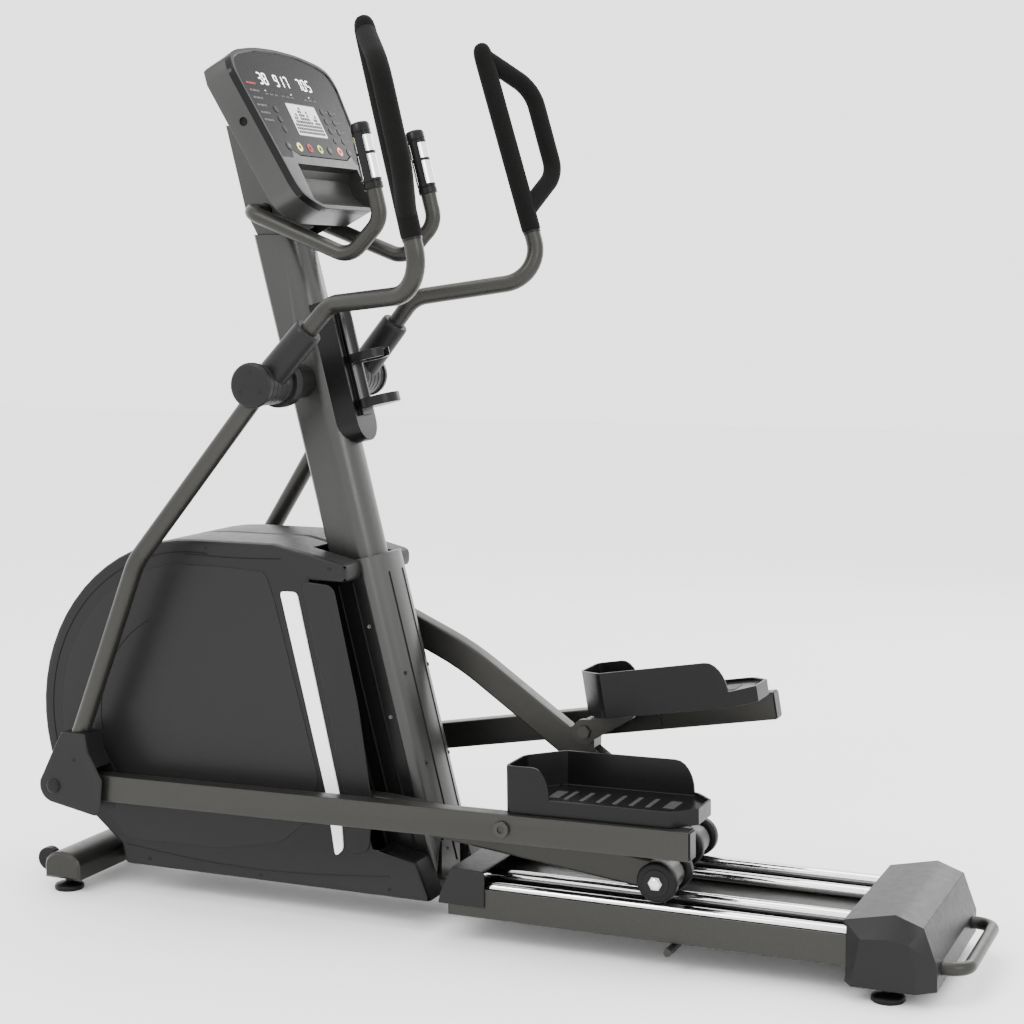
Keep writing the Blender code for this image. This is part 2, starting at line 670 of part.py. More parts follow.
def side_cover(side, name):
    y0, y1 = lane(side, GAP, HOUSING_HALF_W)
    shell = prism("t", housing_outline(0.0), y0, y1)
    soften = shell.modifiers.new("edge", 'BEVEL')
    soften.width = 0.010
    soften.segments = 2
    soften.limit_method = 'ANGLE'
    soften.angle_limit = math.radians(60)
    y0, y1 = lane(side, -0.02, HOUSING_HALF_W - SHELL)
    shell = cut(shell, prism("t", housing_outline(SHELL), y0, y1))
    y0, y1 = lane(side, -0.02, HOUSING_HALF_W - SHELL)
    low, high = SLOT_BOTTOM_Z + 0.002, SLOT_TOP_Z - 0.002
    lane_open = [(slot_x(low) - 0.05, low), (slot_x(low) + 0.02, low),
                 (slot_x(high) + 0.02, high), (slot_x(high) - 0.05, high)]
    shell = cut(shell, prism("t", lane_open, y0, y1), column_zone(0.001, 0.060))
    y0, y1 = lane(side, -0.02, 0.034)
    beam_gap = box("t", -0.90, -0.02, y0, y1, 0.040, 0.088)
    finish(cut(shell, beam_gap), name, "cover")


def column_section(inset):
    """U section of the column cover, (across, y), open to the front."""
    half = COLUMN_HALF_W - inset
    edge = -0.017 - inset * 0.4
    crown = COLUMN_CROWN - inset
    front = -MAST_DEPTH - 0.008
    side_run = [(front, half), (edge, half)]
    rear = [(edge + (crown - edge) * math.sin(t), half * math.cos(t))
            for t in [math.pi * i / 12 for i in range(1, 12)]]
    return side_run + rear + [(edge, -half), (front, -half)]


def column_cover():
    """Leaning U cover behind the mast, gathered round it at the top."""
    outer = column_section(0.0)
    inner = column_section(SHELL)[::-1]
    low, high = 0.050, 0.745 / math.cos(MAST_LEAN)
    rings = []
    for height in (low, high):
        ring = []
        for across, y in outer + inner:
            x, z = mast_point(across, height)
            ring.append((x, y, z))
        rings.append(ring)
    cover = loft("t", rings)
    lid_rings = []
    for height in (high - 0.004, high):
        ring = []
        for across, y in column_section(SHELL / 2):
            x, z = mast_point(across, height)
            ring.append((x, y, z))
        lid_rings.append(ring)
    cover = join(cover, loft("t", lid_rings))
    mast_hole = mast_prism("t", 0.0015, high - 0.05, high + 0.05)
    floor_cut = box("t", -0.4, 0.2, -0.2, 0.2, -0.1, COVER_BOTTOM_Z)
    rear_cut = box("t", -0.097, 0.2, -0.2, 0.2, -0.1, 0.9)
    frame_cut = box("t", -0.4, 0.2, -0.034, 0.034, 0.0, 0.088)
    finish(cut(cover, mast_hole, floor_cut, rear_cut, frame_cut), "column_cover", "silver_coat")


# ---------------------------------------------------------------- mast and what it carries
def mast():
    low = MAST_BOTTOM_Z / math.cos(MAST_LEAN) - 0.02
    high = MAST_TOP_Z / math.cos(MAST_LEAN) + 0.05
    body = mast_prism("t", 0.0, low, high)
    hollow = mast_prism("t", -STEEL, low - 0.1, high + 0.1)
    below = box("t", -1, 1, -0.2, 0.2, -0.1, MAST_BOTTOM_Z)
    above = box("t", -1, 1, -0.2, 0.2, MAST_TOP_Z, 2.0)
    bore = cross_cylinder("t", SWING_X, SWING_Z, HOUSING_NECK + GAP, -0.1, 0.1, 28)
    finish(cut(body, hollow, below, above, bore), "mast", "silver_coat")


def console_point(up, out):
    """World (x, z) of a point up the console's face and out of it."""
    x = CONSOLE_X - up * math.sin(CONSOLE_LEAN) + out * math.cos(CONSOLE_LEAN)
    z = CONSOLE_Z + up * math.cos(CONSOLE_LEAN) + out * math.sin(CONSOLE_LEAN)
    return x, z


PULSE_RADIUS = 0.016
PULSE_X, PULSE_Z = -0.500, 1.447     # where the pulse bar crosses the mast head
PULSE_HALF = 0.124
PULSE_LOW = Vector((-0.258, PULSE_HALF, 1.352))
PULSE_FOOT, PULSE_TIP = Vector((-0.188, PULSE_HALF, 1.425)), Vector((-0.233, PULSE_HALF, 1.605))


def console_bracket():
    """Folded mast head between the mast and the console."""
    foot = MAST_TOP_Z + GAP
    front_x = mast_rear_x(foot) - MAST_DEPTH / math.cos(MAST_LEAN)
    low_back = console_point(-0.020, -CONSOLE_THICK - GAP)
    high_back = console_point(0.230, -CONSOLE_THICK - GAP)
    outline = [(front_x + 0.004, foot), (PULSE_X - 0.045, PULSE_Z), (-0.590, 1.625),
               (-0.520, 1.632), high_back, low_back, (mast_rear_x(foot) - 0.006, foot)]
    half = MAST_HALF_W - 0.012
    body = prism("t", outline, -half, half)
    back_far = console_point(0.300, -0.020)
    back_near = console_point(-0.060, -0.020)
    inner = [(front_x + 0.008, foot + 0.012), (PULSE_X - 0.041, PULSE_Z), (-0.586, 1.620),
             (-0.520, 1.627), back_far, back_near, (mast_rear_x(foot) - 0.010, foot + 0.003)]
    pocket = prism("t", inner, -half + STEEL, half - STEEL)
    hole = tube("t", [(PULSE_X, -0.06, PULSE_Z), (PULSE_X, 0.06, PULSE_Z)], PULSE_RADIUS + 0.001)
    finish(cut(body, pocket, hole), "console_bracket", "silver_coat")


def pulse_handlebar():
    """One tube through the mast head, swept back and up on both sides."""
    right = [Vector((PULSE_X, 0.110, PULSE_Z)), PULSE_LOW, PULSE_FOOT, PULSE_TIP]
    left = [Vector((p.x, -p.y, p.z)) for p in right[::-1]]
    route = fillet(left + right, [0.045, 0.045, 0.035, 0.035, 0.045, 0.045], 3)
    finish(tube("t", route, PULSE_RADIUS, 0.002, 12), "pulse_handlebar", "coat")


def pulse_grip(side, name):
    """Sensor sleeve over one upright end of the pulse bar."""
    foot, tip = PULSE_FOOT.copy(), PULSE_TIP.copy()
    foot.y = tip.y = side * PULSE_HALF
    along = (tip - foot).normalized()
    low = tip - along * 0.125
    sleeve = tube("t", [low, tip + along * 0.010], 0.0195)
    bore = tube("t", [low - along * 0.02, tip + along * GAP], PULSE_RADIUS + 2 * GAP, sides=12)
    finish(cut(sleeve, bore), name, "black_plastic")


def console_outline(inset, low):
    """(y, up) outline: narrow rounded foot, wide arched top."""
    low_half, top_half = CONSOLE_LOW_HALF - inset, CONSOLE_TOP_HALF - inset
    top = CONSOLE_H - inset
    right = [(0.100, low + inset), (low_half - 0.040, low + 0.012 + inset), (low_half - 0.008, 0.012 + inset),
             (low_half + 0.004, 0.035 + inset), (top_half, top - 0.050), (top_half - 0.012, top - 0.018),
             (top_half - 0.045, top - 0.004)]
    arch = [(0.090, top + 0.010), (0.0, top + 0.014)]
    half = right + arch
    left = [(-y, up) for y, up in half[:-1]][::-1]
    return half + left


def console_slab(name, inset, low, out0, out1):
    rings = []
    for out in (out0, out1):
        ring = []
        for y, up in console_outline(inset, low):
            x, z = console_point(up, out)
            ring.append((x, y, z))
        rings.append(ring)
    return loft(name, rings)


FACE_LOW = 0.095


def console_box(name, half, up0, up1, out0, out1):
    corners = [console_point(up0, out0), console_point(up1, out0),
               console_point(up1, out1), console_point(up0, out1)]
    return prism(name, corners, -half, half)


def console_housing():
    body = console_slab("t", 0.0, -0.018, -CONSOLE_THICK, 0.0)
    soften = body.modifiers.new("edge", 'BEVEL')
    soften.width = 0.006
    soften.segments = 2
    soften.limit_method = 'ANGLE'
    soften.angle_limit = math.radians(50)
    pocket = console_slab("t", 0.008, FACE_LOW - 0.002, -0.062, 0.010)
    below = console_box("t", 0.30, -0.10, FACE_LOW, -0.10, 0.05)
    pocket = cut(pocket, below)
    bowl = [console_point(0.082, -0.020), console_point(0.070, -0.034), console_point(0.040, -0.036),
            console_point(0.010, -0.024), console_point(-0.012, 0.004), console_point(0.082, 0.004)]
    scoop = prism("t", bowl, -0.128, 0.128)
    vents = []
    for side in (LEFT, RIGHT):
        x, z = console_point(0.190, -0.035)
        y0, y1 = lane(side, 0.150, 0.260)
        vents.append(tube("t", [(x, y0, z), (x, y1, z)], 0.009, sides=12))
    finish(cut(body, pocket, scoop, *vents), "console_housing", "silver_coat")


def console_face():
    """Glossy overlay plate that closes the front of the console."""
    plate = console_slab("t", 0.0083, FACE_LOW, -0.0035, -0.0005)
    below = console_box("t", 0.30, -0.10, FACE_LOW + GAP, -0.10, 0.05)
    finish(cut(plate, below), "console_face", "gloss")


HOLDER_LOW, HOLDER_HIGH = 1.045, 1.300   # along the mast
HOLDER_HALF = 0.043
CRADLE = 0.030
CUP_RADIUS, CUP_BORE = 0.044, 0.036
CUP_ACROSS = 0.068


def bottle_holder():
    """Backplate with a round foot, a cradle, a split ring and a cup, all one moulding."""
    def in_mast_plane(points, across0, across1):
        rings = []
        for across in (across0, across1):
            ring = []
            for y, height in points:
                x, z = mast_point(across, height)
                ring.append((x, y, z))
            rings.append(ring)
        return loft("t", rings)

    def upright(radius, low, high, sides=24):
        rings = []
        for height in (low, high):
            ring = []
            for a, y in circle(radius, sides):
                x, z = mast_point(CUP_ACROSS + a, height)
                ring.append((x, y, z))
            rings.append(ring)
        return loft("t", rings)

    foot = [(HOLDER_HALF * math.cos(t), HOLDER_LOW + HOLDER_HALF * math.sin(t))
            for t in [math.pi + math.pi * i / 12 for i in range(13)]]
    plate = foot + [(HOLDER_HALF, HOLDER_HIGH), (-HOLDER_HALF, HOLDER_HIGH)]
    body = in_mast_plane(plate, GAP - 0.020, 0.030)
    spine = in_mast_plane([(-0.024, HOLDER_LOW + 0.01), (0.024, HOLDER_LOW + 0.01),
                           (0.024, HOLDER_HIGH - 0.01), (-0.024, HOLDER_HIGH - 0.01)], 0.025, CUP_ACROSS - 0.030)
    ring = upright(CUP_RADIUS, HOLDER_LOW + 0.118, HOLDER_LOW + 0.136)
    cup = upright(CUP_RADIUS, HOLDER_LOW + 0.022, HOLDER_LOW + 0.042)
    body = join(body, spine, ring, cup)
    bottle = upright(CUP_BORE, HOLDER_LOW + 0.026, HOLDER_HIGH + 0.05)
    gap_y = 0.012
    split = in_mast_plane([(-gap_y, HOLDER_LOW + 0.10), (gap_y, HOLDER_LOW + 0.10),
                           (gap_y, HOLDER_LOW + 0.15), (-gap_y, HOLDER_LOW + 0.15)],
                          CUP_ACROSS + 0.01, CUP_ACROSS + 0.06)
    seat = mast_prism("t", GAP, 0.9, 1.5)
    finish(cut(body, bottle, split, seat), "bottle_holder", "black_plastic")


def swing_axle():
    end = HUB_IN + HUB_LENGTH - 0.004
    shaft = cross_cylinder("t", SWING_X, SWING_Z, SWING_AXLE, -end, end)
    finish(shaft, "swing_axle", "steel")


def axle_housing():
    """Sleeve through the mast that carries the swing axle, flared towards both hubs."""
    bore, end = SWING_AXLE + GAP, HUB_IN - 0.001
    neck_end = MAST_HALF_W + 0.030
    half = [(HOUSING_NECK, neck_end), (AXLE_HOUSING_RADIUS, end - 0.030), (AXLE_HOUSING_RADIUS, end),
            (bore, end)]
    profile = half + [(r, -y) for r, y in half[::-1]]
    finish(turned_y("t", profile, SWING_X, SWING_Z, 28), "axle_housing", "cover")


# ---------------------------------------------------------------- drive
def crankshaft(axis):
    end = CRANK_ARM_Y + CRANK_ARM_W + 0.004
    finish(cross_cylinder("t", 0, 0, CRANK_SHAFT, -end, end), "crankshaft", "steel", axis)


def crank_arm(side, name, axis):
    """Arm from the shaft to its pin; the pin stops short of the link's eye."""
    direction = CRANK_REST if side == LEFT else CRANK_REST + math.pi
    px, pz = -CRANK_RADIUS * math.sin(direction), -CRANK_RADIUS * math.cos(direction)
    y0, y1 = lane(side, CRANK_ARM_Y, CRANK_ARM_Y + CRANK_ARM_W)
    nx, nz = pz / CRANK_RADIUS * 0.022, -px / CRANK_RADIUS * 0.022
    bar = prism("t", [(-nx, -nz), (px - nx, pz - nz), (px + nx, pz + nz), (nx, nz)], y0, y1)
    boss = cross_cylinder("t", 0, 0, 0.034, y0, y1)
    end = cross_cylinder("t", px, pz, 0.026, y0, y1)
    p0, p1 = lane(side, CRANK_ARM_Y + 0.002, LINK_Y - LINK_W / 2 - 0.003)
    pin = cross_cylinder("t", px, pz, 0.010, p0, p1)
    arm = join(bar, boss, end, pin)
    b0, b1 = lane(side, 0.0, 0.2)
    finish(cut(arm, cross_cylinder("t", 0, 0, CRANK_SHAFT + GAP, b0, b1)), name, "iron", axis)


def drive_pulley(axis):
    low, high = PULLEY_Y - PULLEY_W / 2, PULLEY_Y + PULLEY_W / 2
    bore, rim = CRANK_SHAFT + GAP, PULLEY_RADIUS
    profile = [(bore, low - 0.004), (0.030, low - 0.004), (0.030, PULLEY_Y - 0.003),
               (rim - 0.014, PULLEY_Y - 0.003), (rim - 0.014, low), (rim, low), (rim, high),
               (rim - 0.014, high), (rim - 0.014, PULLEY_Y + 0.003), (0.030, PULLEY_Y + 0.003),
               (0.030, high + 0.004), (bore, high + 0.004)]
    finish(turned_y("t", profile, 0, 0, 28), "drive_pulley", "iron", axis)


def flywheel(axis):
    """Flywheel pressed on its shaft, with the belt pinion on the other end."""
    low, high = FLYWHEEL_Y - FLYWHEEL_W / 2, FLYWHEEL_Y + FLYWHEEL_W / 2
    rim, web, shaft, hub = FLYWHEEL_RADIUS, 0.006, 0.010, 0.024
    profile = [(shaft / 2, low), (hub, low), (hub, FLYWHEEL_Y - web), (rim - 0.030, FLYWHEEL_Y - web),
               (rim - 0.030, low), (rim, low), (rim, high), (rim - 0.030, high),
               (rim - 0.030, FLYWHEEL_Y + web), (hub, FLYWHEEL_Y + web), (hub, high), (shaft / 2, high)]
    wheel = turned_y("t", profile, 0, 0, 28)
    far = PULLEY_Y + PULLEY_W / 2
    rod = cross_cylinder("t", 0, 0, shaft, low - 0.004, far + 0.004, 20)
    pinion = cross_cylinder("t", 0, 0, PINION_RADIUS, far - PULLEY_W, far, 32)
    finish(join(wheel, rod, pinion), "flywheel", "iron", axis)


def drive_belt():
    """Belt round the crank pulley and the pinion, as one closed band."""
    towards, wrap = belt_line()

    def loop(extra):
        big, small = PULLEY_RADIUS + extra, PINION_RADIUS + extra
        points = []
        for i in range(29):
            t = towards - wrap - (i / 28) * (2 * math.pi - 2 * wrap)
            points.append((CRANK_X + big * math.cos(t), CRANK_Z + big * math.sin(t)))
        for i in range(13):
            t = towards + wrap - (i / 12) * (2 * wrap)
            points.append((FLYWHEEL_X + small * math.cos(t), FLYWHEEL_Z + small * math.sin(t)))
        return points
    y0, y1 = PULLEY_Y - PULLEY_W / 2 + 0.001, PULLEY_Y + PULLEY_W / 2 - 0.001
    outer, inner = loop(BELT_FIT + BELT_THICK), loop(BELT_FIT)
    bm = bmesh.new()
    stacks = []
    for points, y in ((outer, y0), (outer, y1), (inner, y1), (inner, y0)):
        stacks.append([bm.verts.new((x, y, z)) for x, z in points])
    for low, high in zip(stacks, stacks[1:] + stacks[:1]):
        for k in range(len(low)):
            m = (k + 1) % len(low)
            bm.faces.new((low[k], low[m], high[m], high[k]))
    finish(raw_object("t", bm), "drive_belt", "rubber")


def idler_pulley():
    axis = empty("idler_axis", IDLER_X, IDLER_Z)
    y0, y1 = PULLEY_Y - PULLEY_W / 2, PULLEY_Y + PULLEY_W / 2
    finish(ring_y("t", 0, 0, IDLER_RADIUS, 0.0063, y0, y1), "idler_pulley", "black_plastic", axis)


# ---------------------------------------------------------------- rollers and links
def roller_axle(side, name, axis):
    inner = LINK_Y - ROLLER_OFFSET - ROLLER_W / 2
    outer = LINK_Y + ROLLER_OFFSET + ROLLER_W / 2
    y0, y1 = lane(side, inner - 0.005, outer + 0.005)
    rod = cross_cylinder("t", 0, 0, ROLLER_AXLE, y0, y1)
    n0, n1 = lane(side, inner - 0.005, inner - GAP)
    m0, m1 = lane(side, outer + GAP, outer + 0.005)
    nuts = [cross_cylinder("t", 0, 0, 0.014, n0, n1, 6), cross_cylinder("t", 0, 0, 0.014, m0, m1, 6)]
    finish(join(rod, *nuts), name, "steel", axis)


def roller(side, name, offset, axis):
    """Plain-bored roller on one end of the axle."""
    middle = LINK_Y + offset
    low, high = middle - ROLLER_W / 2, middle + ROLLER_W / 2
    edge, bore = 0.004, ROLLER_AXLE + GAP
    profile = [(bore, low), (ROLLER_RADIUS - edge, low), (ROLLER_RADIUS, low + edge),
               (ROLLER_RADIUS, high - edge), (ROLLER_RADIUS - edge, high), (bore, high)]
    wheel = turned_y("t", [(r, side * y) for r, y in profile], 0, 0, 24)
    finish(wheel, name, "rubber", axis)


PIVOT_BOLT = 0.009
LUG_RADIUS = 0.022
EYE_RADIUS = 0.032


def roller_link(side, name, axis):
    """Bent box tube from the roller axle to the crank pin, with the pedal arm's lug on top."""
    y = side * LINK_Y
    corners = [(0, y, 0), (-LINK_BEND, y, 0), (-LINK_REACH, y, -LINK_DROP)]
    body = sweep("t", fillet(corners, [0.600], 4), rounded_rect(LINK_W, LINK_H, 0.006, 2))
    inner_end = (-LINK_REACH + 0.045, y, -LINK_DROP * (LINK_REACH - 0.045 - LINK_BEND)
                 / (LINK_REACH - LINK_BEND))
    inner_corners = [(-0.040, y, 0), (-LINK_BEND, y, 0), inner_end]
    hollow = sweep("t", fillet(inner_corners, [0.600], 4),
                   rounded_rect(LINK_W - 2 * STEEL, LINK_H - 2 * STEEL, 0.003, 1))
    y0, y1 = lane(side, LINK_Y - LINK_W / 2 - 0.0008, LINK_Y + LINK_W / 2 + 0.0008)
    heel = cross_cylinder("t", 0, 0, LINK_H / 2 + 0.0015, y0, y1)
    eye = cross_cylinder("t", -LINK_REACH, -LINK_DROP, EYE_RADIUS, y0, y1)
    lug_x, lug_z = -PIVOT_ALONG, PIVOT_RISE
    cheek = prism("t", [(lug_x - 0.040, 0.020), (lug_x - 0.020, lug_z), (lug_x + 0.020, lug_z),
                        (lug_x + 0.040, 0.020)], y0, y1)
    lug = cross_cylinder("t", lug_x, lug_z, LUG_RADIUS, y0, y1)
    body = join(body, heel, eye, cheek, lug)
    p0, p1 = lane(side, 0.0, 0.3)
    bores = [cross_cylinder("t", 0, 0, ROLLER_AXLE + GAP, p0, p1),
             cross_cylinder("t", -LINK_REACH, -LINK_DROP, 0.014, p0, p1),
             cross_cylinder("t", lug_x, lug_z, PIVOT_BOLT + GAP, p0, p1)]
    drains = [cross_z_hole(-x, y, -LINK_H, -0.010, 0.005) for x in (0.100, LINK_BEND - 0.08)]
    finish(cut(body, hollow, *bores, *drains), name, "coat", axis)


# ---------------------------------------------------------------- pedal arms
EAR_IN, EAR_OUT = LINK_Y - LINK_W / 2 - 0.0185, LINK_Y - LINK_W / 2 - 0.0065
PEDAL_FLOOR = ARM_H / 2 + GAP
CROSS_PLATE = 0.005
TONGUE_HALF_H, TONGUE_HALF_W = 0.018, 0.006


def pedal_arm(side, name, axis):
    """Box tube with the knee tongue in front and the pedal bracket and ear welded on."""
    y = side * ARM_Y
    front = -ARM_LENGTH + 0.060
    body = sweep("t", [(front, y, 0), (ARM_TAIL, y, 0)], rounded_rect(ARM_W, ARM_H, 0.004, 2))
    hollow = sweep("t", [(front + 0.010, y, 0), (ARM_TAIL + 0.020, y, 0)],
                   rounded_rect(ARM_W - 2 * STEEL, ARM_H - 2 * STEEL, 0.002, 1))
    body = cut(body, hollow)
    t0, t1 = lane(side, CASING_MID - TONGUE_HALF_W, CASING_MID + TONGUE_HALF_W)
    tongue = box("t", -ARM_LENGTH, front + 0.005, t0, t1, -TONGUE_HALF_H, TONGUE_HALF_H)
    knee = cross_cylinder("t", -ARM_LENGTH, 0, TONGUE_HALF_H, t0, t1)
    inner_face = ARM_Y - ARM_W / 2
    f0, f1 = lane(side, inner_face - 0.0055, inner_face + 0.001)
    top = PEDAL_FLOOR + CROSS_PLATE
    flange = box("t", 0.030, 0.130, f0, f1, -0.020, top - 0.0005)
    c0, c1 = lane(side, EAR_IN + 0.001, inner_face + 0.0005)
    plate = box("t", 0.055, 0.130, c0, c1, PEDAL_FLOOR, top)
    e0, e1 = lane(side, EAR_IN, EAR_OUT)
    ear = prism("t", [(-0.018, -0.018), (0.012, 0.024), (0.056, 0.027), (0.0565, top - 0.0008),
                      (0.125, top - 0.0008), (0.110, 0.018), (0.019, -0.018)], e0, e1)
    disc = cross_cylinder("t", 0, 0, 0.026, e0, e1)
    body = join(body, tongue, knee, flange, plate, ear, disc)
    b0, b1 = lane(side, 0.0, 0.3)
    bolt_hole = cross_cylinder("t", 0, 0, PIVOT_BOLT + GAP, b0, b1)
    knee_hole = cross_cylinder("t", -ARM_LENGTH, 0, 0.008, b0, b1)
    finish(cut(body, bolt_hole, knee_hole), name, "coat", axis)


def pivot_bolt(side, name, axis):
    """Bolt through the pedal arm, the link's lug and the ear."""
    outer = ARM_Y + ARM_W / 2
    y0, y1 = lane(side, EAR_IN - 0.006, outer + 0.003)
    rod = cross_cylinder("t", 0, 0, PIVOT_BOLT, y0, y1)
    h0, h1 = lane(side, outer + GAP, outer + 0.005)
    n0, n1 = lane(side, EAR_IN - 0.006, EAR_IN - GAP)
    head = cross_cylinder("t", 0, 0, 0.0160, h0, h1)
    nut = cross_cylinder("t", 0, 0, 0.0145, n0, n1, 6)
    finish(join(rod, head, nut), name, "steel", axis)


PEDAL_LENGTH, PEDAL_IN, PEDAL_OUT = 0.378, 0.050, 0.215
PEDAL_WALL, PEDAL_TREAD, PEDAL_HIGH = 0.005, 0.0245, 0.093


def pedal_plan(inset):
    """(x, |y|) outline: angled front inner corner, chamfered rear corners."""
    front, back = inset, PEDAL_LENGTH - inset
    near, far = PEDAL_IN + inset, PEDAL_OUT - inset
    return [(front + 0.012, far), (front + 0.003, far - 0.004), (front, far - 0.014), (front, 0.125),
            (front + 0.006, 0.112), (0.054 + inset * 0.4, near + 0.010), (0.068, near),
            (back - 0.046, near), (back - 0.034, near + 0.006), (back, near + 0.044),
            (back, far - 0.044), (back - 0.034, far - 0.006), (back - 0.046, far)]


def slab(name, outline, z0, z1):
    return loft(name, [[(x, y, z) for x, y in outline] for z in (z0, z1)])


def pedal(side, name, axis):
    """Foot tray: high front and inner walls, low outer lip, ribbed hollow underneath."""
    def plan(inset):
        return [(x, side * y) for x, y in pedal_plan(inset)]
    low = PEDAL_FLOOR
    tread = low + PEDAL_TREAD
    lip = tread + 0.007
    tray = slab("t", plan(0.0), low, low + PEDAL_HIGH)
    well = slab("t", plan(PEDAL_WALL), tread, low + PEDAL_HIGH + 0.02)
    middle = (PEDAL_IN + PEDAL_OUT) / 2
    drop = [(0.058 + 0.034 * math.sin(t), lip + (PEDAL_HIGH + low - lip) * math.cos(t))
            for t in [math.pi / 2 * i / 6 for i in range(7)]]
    above = low + PEDAL_HIGH + 0.02
    outer_cut = prism("t", [(0.058, above)] + drop + [(0.5, lip), (0.5, above)],
                      *lane(side, middle, 0.3))
    ease = [(0.292 + 0.040 * math.sin(t), lip + (PEDAL_HIGH + low - lip) * math.cos(t))
            for t in [math.pi / 2 * i / 6 for i in range(7)]]
    inner_cut = prism("t", [(0.292, above)] + ease + [(0.5, lip), (0.5, above)],
                      *lane(side, 0.0, middle + 0.001))
    pocket = slab("t", plan(PEDAL_WALL), low - 0.02, tread - 0.005)
    ribs = []
    for x in (0.150, 0.225, 0.300):
        ribs.append(box("t", x, x + 0.003, *lane(side, 0.0, 0.3), low + CROSS_PLATE + 0.002, tread))
    pocket = cut(pocket, *ribs)
    finish(cut(tray, well, outer_cut, inner_cut, pocket), name, "black_plastic", axis)


# ---------------------------------------------------------------- swing arms
KNEE = (-SWING_LENGTH * math.sin(SWING_DRAWN), -SWING_LENGTH * math.cos(SWING_DRAWN))
SOCKET_ANGLE = math.radians(46.7)
TUBE_BEND = (-0.290, 0.235, -0.368)


def lower_route(side):
    end = Vector((KNEE[0] + 0.030, side * CASING_MID, KNEE[1] + 0.060))
    bend = Vector((TUBE_BEND[0], side * TUBE_BEND[1], TUBE_BEND[2]))
    hub = Vector((0, side * HUB_Y, 0))
    start = hub + (bend - hub).normalized() * 0.028
    return fillet([start, bend, end], [0.160], 5)


def lower_arm(side, name, axis):
    """Tube from the hub down to the knee, with the knee plate and its pin stub."""
    arm = tube("t", lower_route(side), SWING_TUBE, 0.0025)
    kx, kz = KNEE
    inner = CASING_MID + TONGUE_HALF_W + 0.0035
    y0, y1 = lane(side, inner, inner + 0.006)
    plate = prism("t", [(kx - 0.0135, kz), (kx + 0.016, kz + 0.070), (kx + 0.042, kz + 0.078),
                        (kx + 0.046, kz + 0.062), (kx + 0.0145, kz)], y0, y1)
    pad = cross_cylinder("t", kx, kz, 0.015, y0, y1, 20)
    p0, p1 = lane(side, inner - 0.002, inner + 0.002)
    pin = cross_cylinder("t", kx, kz, 0.006, p0, p1, 16)
    finish(join(arm, plate, pad, pin), name, "coat", axis)


def socket_point(distance):
    return distance * math.cos(SOCKET_ANGLE), distance * math.sin(SOCKET_ANGLE)


def swing_hub(side, name, axis):
    """Bearing barrel with the handle's socket; the lower tube is let into its underside."""
    y0, y1 = lane(side, HUB_IN, HUB_IN + HUB_LENGTH)
    barrel = cross_cylinder("t", 0, 0, HUB_RADIUS, y0, y1, 32)
    y = side * HUB_Y
    x, z = socket_point(SOCKET_LENGTH)
    socket = tube("t", [(0, y, 0), (x, y, z)], SOCKET_RADIUS, sides=24)
    body = join(barrel, socket)
    x0, z0 = socket_point(0.058)
    x1, z1 = socket_point(SOCKET_LENGTH + 0.02)
    handle_bore = tube("t", [(x0, y, z0), (x1, y, z1)], HANDLE_TUBE + GAP)
    axle_bore = cross_cylinder("t", 0, 0, SWING_AXLE + GAP, y0 - side * 0.01, y1 + side * 0.01)
    route = lower_route(side)
    tube_bore = tube("t", [route[0], route[1]], SWING_TUBE + GAP)
    finish(cut(body, handle_bore, axle_bore, tube_bore), name, "cover", axis)


def hub_cap(side, name, axis):
    start = HUB_IN + HUB_LENGTH + GAP
    profile = [(0.003, start), (HUB_CAP_RADIUS - 0.001, start), (HUB_CAP_RADIUS, start + 0.001),
               (HUB_CAP_RADIUS, start + HUB_CAP - 0.005), (HUB_CAP_RADIUS - 0.006, start + HUB_CAP),
               (0.003, start + HUB_CAP)]
    cap = turned_y("t", [(r, side * y) for r, y in profile], 0, 0, 24)
    finish(cap, name, "cover", axis)


def handle_corners(side):
    x0, z0 = socket_point(0.062)
    x1, z1 = socket_point(0.2186)
    lean = (GRIP_TOP_Z - 0.182) * 0.233
    return [Vector((x0, side * HUB_Y, z0)), Vector((x1, side * HUB_Y, z1)),
            Vector((0.408, side * (GRIP_Y - 0.010), 0.182)),
            Vector((0.408 - lean, side * GRIP_Y, GRIP_TOP_Z))]


def grip_point(side, z, share=0.0):
    """A point on the grip's straight bar, moved out by a share of the loop."""
    low, high = handle_corners(side)[2:]
    t = (z - low.z) / (high.z - low.z)
    return low.lerp(high, t) + Vector((LOOP_BACK * share, side * LOOP_OUT * share, 0))


def handle_tube(side, name, axis):
    corners = handle_corners(side)
    corners[3] = grip_point(side, GRIP_TOP_Z - 0.030)
    route = fillet(corners, [0.060, 0.075], 4)
    finish(tube("t", route, HANDLE_TUBE, 0.002), name, "coat", axis)


def tapered(name, stations, sides=TUBE_SIDES):
    """Round bar through (point, radius) stations on one straight line."""
    first, last = stations[0][0], stations[-1][0]
    along = (last - first).normalized()
    across = (Vector((0, 1, 0)) - along * along.y).normalized()
    up = along.cross(across)
    rings = []
    for point, radius in stations:
        rings.append([point + across * a + up * b for a, b in circle(radius, sides)])
    return loft(name, rings)


